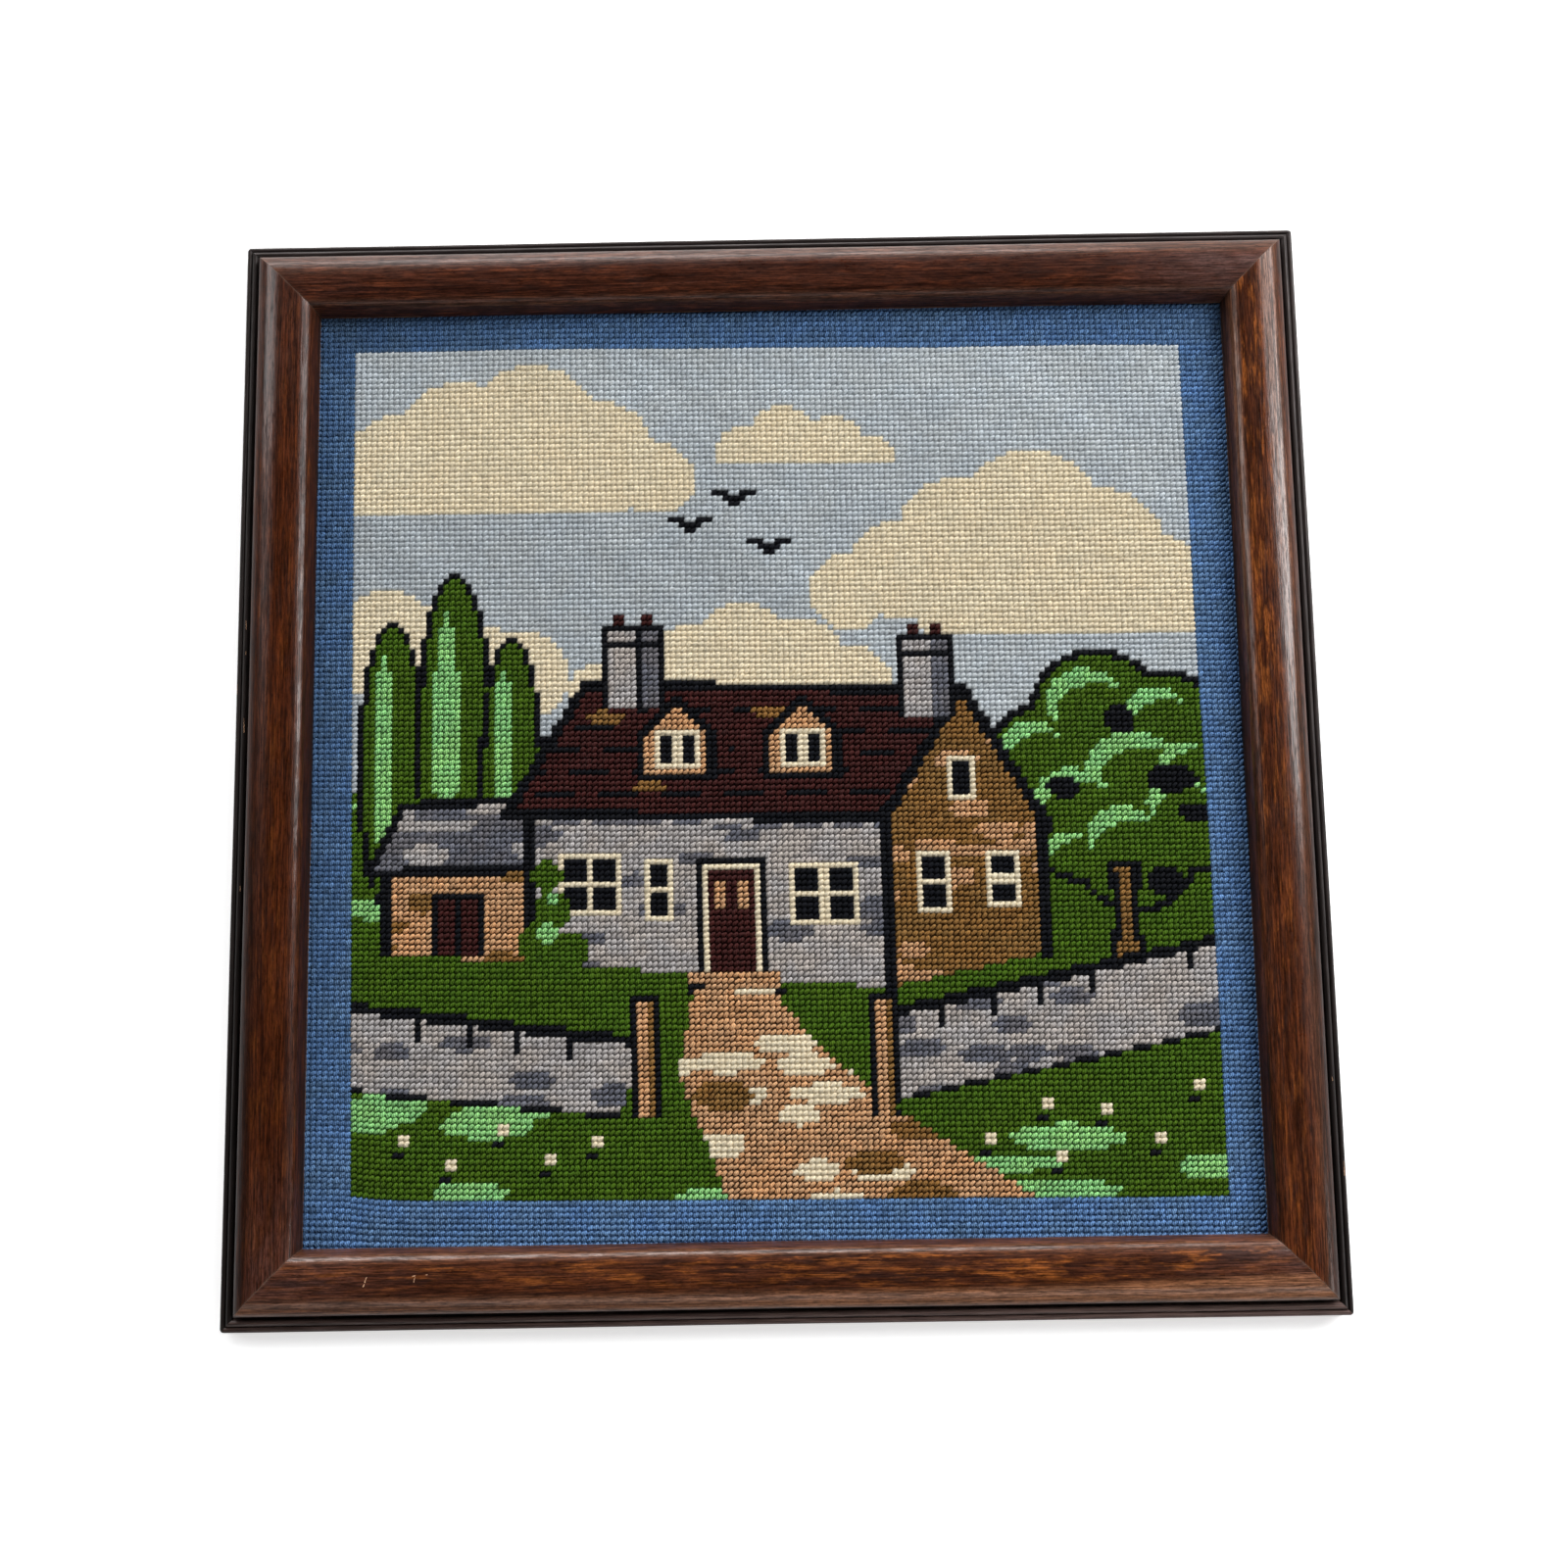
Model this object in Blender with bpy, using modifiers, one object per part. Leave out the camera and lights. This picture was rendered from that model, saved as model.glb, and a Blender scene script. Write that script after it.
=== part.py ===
"""Framed needlepoint, lying face up on its back.

A square-ish picture frame of four mitred hardwood rails, each a length of one
moulding, with a worked needlepoint canvas stretched flat in the rebate behind
the sight edge.

Axes: +X to the picture's right, +Y to the picture's top, +Z out of its face.
Origin: middle of the back plane that the frame lies on.  Units: metres.
"""

import math

import bmesh
import bpy
from mathutils import Matrix, Vector

MM = 0.001

# ---------------------------------------------------------------- sizes
FRAME_WIDTH = 406.4 * MM      # outside, left to right (16 in)
FRAME_HEIGHT = 410.4 * MM     # outside, bottom to top
MITRE_GAP = 0.3 * MM          # open joint between two rails
CUTTER_SIZE = 120.0 * MM      # blocks that saw the mitres
CURVE_STEP = 0.45 * MM        # length of one facet on the moulding's curves

# Moulding section.  inset is measured from the outer wall towards the picture,
# height from the back plane.  The run goes up the outer wall, over the face,
# and back through the rebate.  "sharp" ends a curve, "smooth" carries it on.
MOULDING = (
    # inset, height, joint,     what
    (0.00, 0.00, "sharp"),    # back arris
    (0.00, 7.90, "sharp"),    # top of the outer wall
    (0.22, 9.05, "smooth"),   # outer bead
    (1.10, 9.85, "smooth"),   # outer bead, crown
    (1.85, 9.55, "smooth"),
    (2.20, 9.05, "sharp"),    # first quirk
    (2.50, 10.20, "smooth"),  # second bead
    (3.50, 11.20, "smooth"),  # second bead, crown
    (4.45, 10.75, "smooth"),
    (4.95, 9.90, "sharp"),    # second quirk
    (5.55, 9.90, "sharp"),    # foot of the fillet
    (5.70, 13.70, "sharp"),   # top of the fillet
    (6.10, 14.70, "smooth"),  # arris of the main member
    (7.60, 16.05, "smooth"),
    (10.20, 17.45, "smooth"),  # outer shoulder
    (13.20, 18.35, "smooth"),
    (16.40, 18.70, "smooth"),  # crown
    (20.40, 18.40, "smooth"),
    (23.80, 17.75, "smooth"),  # fall towards the picture
    (25.20, 17.20, "smooth"),  # ridge
    (26.20, 16.10, "smooth"),
    (27.40, 13.80, "smooth"),  # inner slope
    (28.60, 11.50, "smooth"),
    (29.10, 10.20, "sharp"),  # nose of the sight edge
    (29.10, 8.30, "sharp"),   # underside of the lip
    (23.10, 8.30, "sharp"),   # rebate corner
    (23.10, 0.00, "sharp"),   # back of the rebate
)
SIGHT_INSET = 29.10 * MM
REBATE_INSET = 23.10 * MM
REBATE_LEDGE = 8.30 * MM

# Worked canvas
SHEET_THICKNESS = 2.4 * MM
SHEET_TOP = 8.0 * MM          # 0.3 mm under the lip
SHEET_SIDE_GAP = 0.8 * MM     # to the walls of the rebate
SHEET_CELL = 11.5 * MM        # facet of the uneven face
FLAT_BORDER = 9.0 * MM        # held flat under and beside the lip
# Slow swells of the stretched work: amplitude, cycles across x and y, phases.
SWELLS = (
    # amp_mm, cycles_x, cycles_y, phase_x, phase_y
    (0.22, 1.0, 1.0, 0.10, 0.35),
    (0.14, 2.0, 1.0, 1.90, 0.80),
    (0.10, 1.0, 3.0, 0.60, 2.20),
    (0.06, 4.0, 3.0, 2.50, 1.10),
)

# Rails: name, quarter turns about +Z that bring a top rail to its place
RAILS = (
    ("rail_top", 0),
    ("rail_left", 1),
    ("rail_bottom", 2),
    ("rail_right", 3),
)

WOOD_COLOURS = {
    "rail_top": (0.085, 0.032, 0.018),
    "rail_left": (0.075, 0.027, 0.015),
    "rail_bottom": (0.105, 0.040, 0.020),
    "rail_right": (0.110, 0.042, 0.020),
}
WOOL_BLUE = (0.070, 0.135, 0.290)


# ---------------------------------------------------------------- helpers
def clear_scene():
    for obj in list(bpy.data.objects):
        bpy.data.objects.remove(obj)
    for coll in list(bpy.data.collections):
        bpy.data.collections.remove(coll)


def collection(name):
    coll = bpy.data.collections.new(name)
    bpy.context.scene.collection.children.link(coll)
    return coll


def material(name, rgb, roughness, metallic=0.0):
    mat = bpy.data.materials.new(name)
    mat.use_nodes = True
    bsdf = mat.node_tree.nodes["Principled BSDF"]
    bsdf.inputs["Base Color"].default_value = (*rgb, 1.0)
    bsdf.inputs["Roughness"].default_value = roughness
    bsdf.inputs["Metallic"].default_value = metallic
    mat.diffuse_color = (*rgb, 1.0)
    return mat


def curve_through(points, step):
    """Points of a soft curve through these, about step apart, ends included."""
    if len(points) < 3:
        return [Vector(p) for p in points]
    pts = [Vector(p) for p in points]
    ends = [2 * pts[0] - pts[1]] + pts + [2 * pts[-1] - pts[-2]]
    out = [pts[0]]
    for i in range(1, len(ends) - 2):
        p0, p1, p2, p3 = ends[i - 1], ends[i], ends[i + 1], ends[i + 2]
        # Chord lengths to the power of a half keep uneven spacing from looping.
        d1 = max((p1 - p0).length, 1e-9) ** 0.5
        d2 = max((p2 - p1).length, 1e-9) ** 0.5
        d3 = max((p3 - p2).length, 1e-9) ** 0.5
        m1 = (p2 - p1) + d2 * ((p1 - p0) / d1 - (p2 - p0) / (d1 + d2))
        m2 = (p2 - p1) + d2 * ((p3 - p2) / d3 - (p3 - p1) / (d2 + d3))
        count = max(1, round((p2 - p1).length / step))
        for k in range(1, count + 1):
            t = k / count
            a, b = 2 * t**3 - 3 * t**2 + 1, t**3 - 2 * t**2 + t
            c, d = -2 * t**3 + 3 * t**2, t**3 - t**2
            out.append(a * p1 + b * m1 + c * p2 + d * m2)
    return out


def section():
    """The moulding's outline as (inset, height) in metres, in one closed run."""
    run, piece = [], []
    for inset, height, joint in MOULDING:
        piece.append((inset * MM, height * MM))
        if joint == "sharp" and len(piece) > 1:
            run += curve_through(piece, CURVE_STEP)[:-1]
            piece = [piece[-1]]
    run.append(Vector(piece[-1]))
    return run


def mesh_of(obj, name, coll):
    """A mesh object in place of a curve object, with the curve's place kept."""
    graph = bpy.context.evaluated_depsgraph_get()
    mesh = bpy.data.meshes.new_from_object(obj.evaluated_get(graph))
    mesh.name = name
    bm = bmesh.new()
    bm.from_mesh(mesh)
    bmesh.ops.remove_doubles(bm, verts=bm.verts, dist=0.00001)
    bmesh.ops.recalc_face_normals(bm, faces=bm.faces)
    bm.to_mesh(mesh)
    bm.free()
    new = bpy.data.objects.new(name, mesh)
    new.matrix_world = obj.matrix_world.copy()
    coll.objects.link(new)
    bpy.data.objects.remove(obj)
    return new


def moulding_length(name, outline, length, coll):
    """A straight length of moulding along X, its outer wall at y = 0 facing +Y."""
    data = bpy.data.curves.new(name + "_section", "CURVE")
    data.dimensions = "2D"
    data.fill_mode = "BOTH"
    data.extrude = length / 2
    spline = data.splines.new("POLY")
    spline.points.add(len(outline) - 1)
    for point, (inset, height) in zip(spline.points, outline):
        point.co = (-inset, height, 0.0, 1.0)
    spline.use_cyclic_u = True
    obj = bpy.data.objects.new(name + "_section", data)
    coll.objects.link(obj)
    # The curve's plane is X, Y: its x becomes the frame's y, its y the height.
    obj.matrix_world = Matrix(
        ((0, 0, 1, 0), (1, 0, 0, 0), (0, 1, 0, 0), (0, 0, 0, 1))
    )
    bpy.context.view_layer.update()
    return mesh_of(obj, name, coll)


def block(name, size, place, coll):
    bm = bmesh.new()
    bmesh.ops.create_cube(bm, size=1.0)
    bmesh.ops.scale(bm, vec=size, verts=bm.verts)
    mesh = bpy.data.meshes.new(name)
    bm.to_mesh(mesh)
    bm.free()
    obj = bpy.data.objects.new(name, mesh)
    obj.matrix_world = place
    obj.hide_render = True
    obj.display_type = "WIRE"
    coll.objects.link(obj)
    return obj


def mitre(rail, length, outer_y, coll):
    """Saws both ends of a rail that lies along X with its outer wall at outer_y."""
    for side in (-1, 1):
        # The saw plane runs at 45 degrees through the outer corner.
        corner = Vector((side * length / 2, outer_y, 0.0))
        inward = Vector((-side, -1.0, 0.0)).normalized()
        off = Vector((side, -1.0, 0.0)).normalized()
        turn = Matrix.Rotation(math.atan2(off.y, off.x), 4, "Z")
        middle = corner + inward * CUTTER_SIZE * 0.3 + off * (
            CUTTER_SIZE / 2 - MITRE_GAP / 2
        )
        place = Matrix.Translation(middle) @ turn
        cutter = block(
            f"saw_{rail.name}_{'a' if side < 0 else 'b'}",
            (CUTTER_SIZE, CUTTER_SIZE * 2, CUTTER_SIZE),
            place,
            coll,
        )
        cut = rail.modifiers.new("mitre", "BOOLEAN")
        cut.operation = "DIFFERENCE"
        cut.solver = "EXACT"
        cut.object = cutter


def swell(x, y, half_w, half_h):
    """Height of the stretched face above SHEET_TOP, in metres."""
    u, v = x / half_w, y / half_h
    height = 0.0
    for amp, cx, cy, px, py in SWELLS:
        height += amp * MM * math.sin(math.pi * cx * u + px) * math.sin(
            math.pi * cy * v + py
        )
    edge = min(half_w - abs(x), half_h - abs(y))
    held = min(1.0, max(0.0, (edge - FLAT_BORDER) / (4 * FLAT_BORDER)))
    return height * held * held * (3 - 2 * held)


# ---------------------------------------------------------------- build
def build_rails(parts, cutters):
    outline = section()
    for name, turns in RAILS:
        across = turns % 2 == 1
        length = FRAME_HEIGHT if across else FRAME_WIDTH
        outer = (FRAME_WIDTH if across else FRAME_HEIGHT) / 2
        rail = moulding_length(name, outline, length + 10 * MM, parts)
        place = Matrix.Rotation(turns * math.pi / 2, 4, "Z") @ Matrix.Translation(
            (0.0, outer, 0.0)
        )
        # The blank is moved to its own y before sawing, then turned as one.
        rail.data.transform(rail.matrix_world)
        rail.matrix_world = Matrix.Identity(4)
        rail.data.transform(Matrix.Translation((0.0, outer, 0.0)))
        mitre(rail, length, outer, cutters)
        turned = place @ Matrix.Translation((0.0, -outer, 0.0))
        rail.matrix_world = turned
        for cut in rail.modifiers:
            cut.object.matrix_world = turned @ cut.object.matrix_world
        rail.data.shade_smooth()
        rail.data.set_sharp_from_angle(angle=math.radians(35))
        rail.data.materials.append(material(name, WOOD_COLOURS[name], 0.35))


def build_sheet(parts):
    half_w = FRAME_WIDTH / 2 - REBATE_INSET - SHEET_SIDE_GAP
    half_h = FRAME_HEIGHT / 2 - REBATE_INSET - SHEET_SIDE_GAP
    nx, ny = round(2 * half_w / SHEET_CELL), round(2 * half_h / SHEET_CELL)
    bm = bmesh.new()
    bmesh.ops.create_grid(bm, x_segments=nx, y_segments=ny, size=1.0)
    for vert in bm.verts:
        x, y = vert.co.x * half_w, vert.co.y * half_h
        vert.co = (x, y, SHEET_TOP + swell(x, y, half_w, half_h))
    mesh = bpy.data.meshes.new("needlepoint")
    bm.to_mesh(mesh)
    bm.free()
    sheet = bpy.data.objects.new("needlepoint", mesh)
    parts.objects.link(sheet)
    body = sheet.modifiers.new("cloth", "SOLIDIFY")
    body.thickness = SHEET_THICKNESS
    body.offset = -1.0
    mesh.materials.append(material("needlepoint", WOOL_BLUE, 0.95))


def main():
    clear_scene()
    parts = collection("framed_needlepoint")
    cutters = collection("cutters")
    build_rails(parts, cutters)
    build_sheet(parts)


main()
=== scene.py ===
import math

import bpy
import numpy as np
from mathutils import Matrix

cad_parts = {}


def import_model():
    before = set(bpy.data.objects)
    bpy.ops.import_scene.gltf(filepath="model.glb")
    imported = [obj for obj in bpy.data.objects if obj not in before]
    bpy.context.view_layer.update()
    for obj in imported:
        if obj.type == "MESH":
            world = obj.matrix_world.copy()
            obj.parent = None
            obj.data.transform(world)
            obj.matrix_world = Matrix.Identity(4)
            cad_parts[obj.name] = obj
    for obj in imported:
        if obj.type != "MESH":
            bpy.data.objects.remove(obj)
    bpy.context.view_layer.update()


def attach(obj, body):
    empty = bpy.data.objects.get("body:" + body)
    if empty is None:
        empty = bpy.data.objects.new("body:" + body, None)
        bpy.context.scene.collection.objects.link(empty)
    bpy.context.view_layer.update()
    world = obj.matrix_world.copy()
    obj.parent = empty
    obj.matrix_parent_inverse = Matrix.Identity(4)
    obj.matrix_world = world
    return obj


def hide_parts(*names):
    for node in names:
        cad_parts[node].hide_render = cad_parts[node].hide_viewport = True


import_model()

# The looks of a framed needlepoint that lies on its back: four lengths of
# stained moulding with their grain and wear, and a canvas worked in tent
# stitch, each stitch its own short piece of yarn.  The sizes below are in
# millimetres in the part's own axes, +X to the picture's right, +Y to its top
# and +Z out of its face; meshes are written in metres.

MM = 0.001

# ================================================================ sizes
FRAME_W, FRAME_H = 406.4, 410.4

# Moulding section, as in the part.  inset runs from the outer wall towards the
# picture, height from the back plane.  cuts is the number of facets up to this
# row.  grime_and_shade is how far dirt and black stain fill it and how dark it is
# painted as shade in the quirks, beads and inner slope; wear_and_glint is how far
# it is rubbed and lightened as a painted glint on arrises, bead crowns and ridge.
MOULDING = (
    # inset, height, joint,   cuts, grime_and_shade, wear_and_glint
    (0.00, 0.00, "sharp", 0, 0.70, 0.5),    # back arris
    (0.00, 7.90, "sharp", 3, 0.80, 0.5),    # top of the outer wall
    (0.22, 9.05, "smooth", 4, 0.75, 0.9),   # outer bead
    (1.10, 9.85, "smooth", 4, 0.62, 1.0),   # outer bead, crown
    (1.85, 9.55, "smooth", 3, 0.66, 0.4),
    (2.20, 9.05, "sharp", 3, 1.00, 0.0),    # first quirk
    (2.50, 10.20, "smooth", 4, 0.92, 0.2),  # second bead
    (3.50, 11.20, "smooth", 4, 0.74, 0.6),  # second bead, crown
    (4.45, 10.75, "smooth", 3, 0.72, 0.3),
    (4.95, 9.90, "sharp", 3, 1.00, 0.0),    # second quirk
    (5.90, 9.90, "sharp", 1, 1.00, 0.0),    # foot of the fillet
    (6.05, 13.60, "sharp", 3, 0.80, 0.2),   # top of the fillet
    (6.45, 14.60, "smooth", 3, 0.16, 1.0),  # arris of the main member
    (7.80, 15.98, "smooth", 4, 0.10, 0.3),
    (10.20, 17.45, "smooth", 4, 0.04, 0.1),  # outer shoulder
    (13.20, 18.35, "smooth", 4, 0.00, 0.0),
    (16.40, 18.70, "smooth", 4, 0.00, 0.0),  # crown
    (20.40, 18.40, "smooth", 4, 0.00, 0.0),
    (23.30, 17.90, "smooth", 4, 0.02, 0.1),  # fall towards the picture
    (24.40, 17.52, "smooth", 3, 0.03, 0.4),
    (25.50, 16.98, "smooth", 4, 0.04, 0.8),  # ridge
    (26.50, 16.24, "smooth", 4, 0.10, 0.4),
    (27.30, 15.20, "smooth", 4, 0.26, 0.0),
    (28.00, 13.50, "smooth", 3, 0.44, 0.0),  # inner slope
    (28.70, 11.50, "smooth", 3, 0.62, 0.0),
    (29.10, 10.20, "sharp", 4, 0.85, 0.1),  # nose of the sight edge
    (29.10, 8.30, "sharp", 2, 1.00, 0.0),   # underside of the lip
    (23.10, 8.30, "sharp", 2, 0.30, 0.0),   # rebate corner
    (23.10, 0.00, "sharp", 2, 0.20, 0.0),   # back of the rebate
)
BACK_CUTS = 6
RAIL_STEP = 2.7            # between two cross sections of a rail
CORNER_RADIUS = 1.5        # the outer corner's rubbed round
JOINT_GAP = 0.05           # open line of a mitre

# Worked canvas
SHEET_HALF_W, SHEET_HALF_H = 179.3, 181.3
SHEET_TOP = 8.0
GROUND_TOP = 6.95          # canvas threads, seen only in the holes
GROUND_BACK = 5.62
FLAT_BORDER = 9.0
SWELLS = (
    # amp_mm, cycles_x, cycles_y, phase_x, phase_y
    (0.22, 1.0, 1.0, 0.10, 0.35),
    (0.14, 2.0, 1.0, 1.90, 0.80),
    (0.10, 1.0, 3.0, 0.60, 2.20),
    (0.06, 4.0, 3.0, 2.50, 1.10),
)
COLS, ROWS = 167, 171              # stitches across and up
COL_PITCH, ROW_PITCH = 2.138, 2.108
PIC_COL, PIC_ROW = 9, 9            # first column and row of the picture
PIC_W, PIC_H = 149, 153

# Wools: name, colour (linear), lean of the stitch in degrees, its length, width
# and height in mm, how strongly its fibres shine, the angle of its plies to the
# stitch and how strongly they show, how light the canvas below is painted, as
# painted shade in the holes, and how far single stitches and whole yarns differ
# in depth and in hue
SKY, CREAM, TAN, BROWN, MAROON, NAVY, LGREY, MGREY, GREEN, LGREEN, BLUE = range(11)
WOOLS = (
    # name,        r,     g,     b,     lean, long, wide, high, gloss, twist, ply, pit, single, hue
    ("sky_grey", 0.436, 0.474, 0.501, 33.0, 2.84, 1.54, 0.82, 0.12, 24.0, 0.20, 0.92, 0.045, 0.012),
    ("cream", 0.690, 0.603, 0.438, 32.0, 2.86, 1.58, 0.80, 0.12, 24.0, 0.16, 0.96, 0.045, 0.012),
    ("tan", 0.575, 0.322, 0.162, 36.0, 2.74, 1.46, 1.02, 0.16, 26.0, 0.44, 0.14, 0.085, 0.040),
    ("brown", 0.240, 0.122, 0.033, 35.0, 2.80, 1.48, 0.98, 0.14, 30.0, 0.50, 0.20, 0.085, 0.045),
    ("maroon", 0.046, 0.0062, 0.0050, 33.0, 2.88, 1.50, 0.94, 0.20, 44.0, 0.75, 0.22, 0.085, 0.045),
    ("navy", 0.0030, 0.0038, 0.0066, 34.0, 2.86, 1.52, 0.92, 0.12, 30.0, 0.50, 0.40, 0.085, 0.045),
    ("light_grey", 0.410, 0.380, 0.366, 38.0, 2.88, 1.50, 0.90, 0.16, 26.0, 0.40, 0.44, 0.085, 0.030),
    ("mid_grey", 0.132, 0.133, 0.156, 38.0, 2.90, 1.54, 0.90, 0.16, 28.0, 0.42, 0.36, 0.085, 0.045),
    ("green", 0.054, 0.119, 0.0052, 38.0, 2.84, 1.50, 0.93, 0.12, 56.0, 0.66, 0.34, 0.085, 0.045),
    ("light_green", 0.268, 0.592, 0.211, 38.0, 2.82, 1.48, 0.96, 0.14, 56.0, 0.66, 0.24, 0.085, 0.045),
    ("blue", 0.104, 0.208, 0.402, 33.5, 3.02, 1.54, 0.92, 0.16, 60.0, 0.72, 0.66, 0.130, 0.045),
)

# Nicks and scuffs in the finish: rail, x and y of both ends in mm, half width
NICKS = (
    ("rail_bottom", -148.6, -185.5, -149.2, -187.2, 0.24),
    ("rail_bottom", -149.4, -187.8, -149.7, -188.7, 0.26),
    ("rail_bottom", -132.4, -185.4, -131.4, -185.2, 0.15),
    ("rail_bottom", -131.4, -185.6, -131.9, -187.5, 0.12),
    ("rail_bottom", -127.6, -185.0, -127.1, -184.9, 0.15),
    ("rail_left", -199.5, 56.0, -199.4, 52.5, 0.13),
    ("rail_left", -199.3, 44.0, -199.3, 42.9, 0.15),
    ("rail_left", -199.3, 18.5, -199.2, 13.0, 0.12),
    ("rail_left", -202.6, 32.0, -202.6, 28.0, 0.10),
    ("rail_left", -199.2, -44.6, -199.2, -46.4, 0.12),
    ("rail_right", 202.4, -151.0, 202.4, -156.0, 0.14),
    ("rail_right", 199.6, -120.8, 199.6, -122.0, 0.13),
)


# ================================================================ mesh helpers
def mesh_object(name, verts, corners, starts, smooth=True):
    """A mesh object from points in mm, corner indices and each face's start."""
    mesh = bpy.data.meshes.new(name)
    mesh.vertices.add(len(verts))
    mesh.vertices.foreach_set("co", (np.asarray(verts) * MM).astype(np.float32).ravel())
    mesh.loops.add(len(corners))
    mesh.loops.foreach_set("vertex_index", corners.astype(np.int32))
    mesh.polygons.add(len(starts))
    mesh.polygons.foreach_set("loop_start", starts.astype(np.int32))
    mesh.polygons.foreach_set("use_smooth", np.full(len(starts), smooth))
    mesh.update(calc_edges=True)
    obj = bpy.data.objects.new(name, mesh)
    bpy.context.scene.collection.objects.link(obj)
    return obj


def point_values(obj, name, values, kind="FLOAT"):
    data = obj.data.attributes.new(name, kind, "POINT").data
    key = "value" if kind == "FLOAT" else "vector"
    data.foreach_set(key, np.asarray(values, np.float32).ravel())


def uv_layer(obj, name, uv):
    layer = obj.data.uv_layers.new(name=name)
    layer.uv.foreach_set("vector", np.asarray(uv, np.float32).ravel())


def into_unit(a, margin=0.004):
    lo, hi = a.min(axis=0), a.max(axis=0)
    return margin + (1 - 2 * margin) * (a - lo) / np.maximum(hi - lo, 1e-9)


# ================================================================ node helpers
class Shader:
    """A material's node tree, with short names for the nodes used here."""

    def __init__(self, name):
        self.mat = bpy.data.materials.new(name)
        self.mat.use_nodes = True
        self.tree = self.mat.node_tree
        self.bsdf = self.tree.nodes["Principled BSDF"]

    def feed(self, socket, value):
        if isinstance(value, bpy.types.NodeSocket):
            self.tree.links.new(value, socket)
        elif isinstance(value, (tuple, list)) and socket.type == "RGBA" and len(value) == 3:
            socket.default_value = (*value, 1.0)
        else:
            socket.default_value = value

    def put(self, **values):
        for key, value in values.items():
            self.feed(self.bsdf.inputs[key.replace("_", " ")], value)

    def attribute(self, name, out="Fac"):
        n = self.tree.nodes.new("ShaderNodeAttribute")
        n.attribute_name = name
        return n.outputs[out]

    def uv(self, name):
        n = self.tree.nodes.new("ShaderNodeUVMap")
        n.uv_map = name
        return n.outputs["UV"]

    def place(self):
        return self.tree.nodes.new("ShaderNodeTexCoord").outputs["Object"]

    def vec(self, op, a, b=None):
        n = self.tree.nodes.new("ShaderNodeVectorMath")
        n.operation = op
        self.feed(n.inputs[0], a)
        if b is not None:
            self.feed(n.inputs[3] if op == "SCALE" else n.inputs[1], b)
        return n.outputs["Value"] if op in ("LENGTH", "DOT_PRODUCT", "DISTANCE") else n.outputs[0]

    def split(self, a):
        n = self.tree.nodes.new("ShaderNodeSeparateXYZ")
        self.feed(n.inputs[0], a)
        return n.outputs[0], n.outputs[1], n.outputs[2]

    def join(self, x, y, z):
        n = self.tree.nodes.new("ShaderNodeCombineXYZ")
        for socket, value in zip(n.inputs, (x, y, z)):
            self.feed(socket, value)
        return n.outputs[0]

    def math(self, op, a, b=None, c=None, clamp=False):
        n = self.tree.nodes.new("ShaderNodeMath")
        n.operation = op
        n.use_clamp = clamp
        for socket, value in zip(n.inputs, (a, b, c)):
            if value is not None:
                self.feed(socket, value)
        return n.outputs[0]

    def span(self, a, lo, hi, to_lo=0.0, to_hi=1.0, smooth=True):
        """a from lo to hi, as to_lo to to_hi."""
        n = self.tree.nodes.new("ShaderNodeMapRange")
        n.interpolation_type = "SMOOTHSTEP" if smooth else "LINEAR"
        for socket, value in zip(n.inputs, (a, lo, hi, to_lo, to_hi)):
            self.feed(socket, value)
        return n.outputs[0]

    def noise(self, at, detail=3.0, rough=0.55, distortion=0.0, out="Fac"):
        n = self.tree.nodes.new("ShaderNodeTexNoise")
        self.feed(n.inputs["Vector"], at)
        for key, value in (("Scale", 1.0), ("Detail", detail), ("Roughness", rough), ("Distortion", distortion)):
            n.inputs[key].default_value = value
        return n.outputs[out]

    def stretched(self, at, sizes, shift=(0.0, 0.0, 0.0)):
        """Coordinates in features of these sizes, in mm, moved by shift."""
        return self.vec("MULTIPLY", self.vec("ADD", at, shift), tuple(1.0 / s for s in sizes))

    def mix(self, fac, a, b, blend="MIX"):
        n = self.tree.nodes.new("ShaderNodeMix")
        n.data_type = "RGBA"
        n.blend_type = blend
        self.feed(n.inputs[0], fac)
        self.feed(n.inputs[6], a)
        self.feed(n.inputs[7], b)
        return n.outputs[2]

    def times(self, colour, factor):
        """A colour made lighter or darker by a number."""
        n = self.tree.nodes.new("ShaderNodeVectorMath")
        n.operation = "SCALE"
        self.feed(n.inputs[0], colour)
        self.feed(n.inputs[3], factor)
        return n.outputs[0]

    def bump(self, height, depth_mm, strength=1.0, normal=None):
        n = self.tree.nodes.new("ShaderNodeBump")
        n.inputs["Strength"].default_value = strength
        n.inputs["Distance"].default_value = depth_mm * MM
        self.feed(n.inputs["Height"], height)
        if normal is not None:
            self.feed(n.inputs["Normal"], normal)
        return n.outputs["Normal"]


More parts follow.
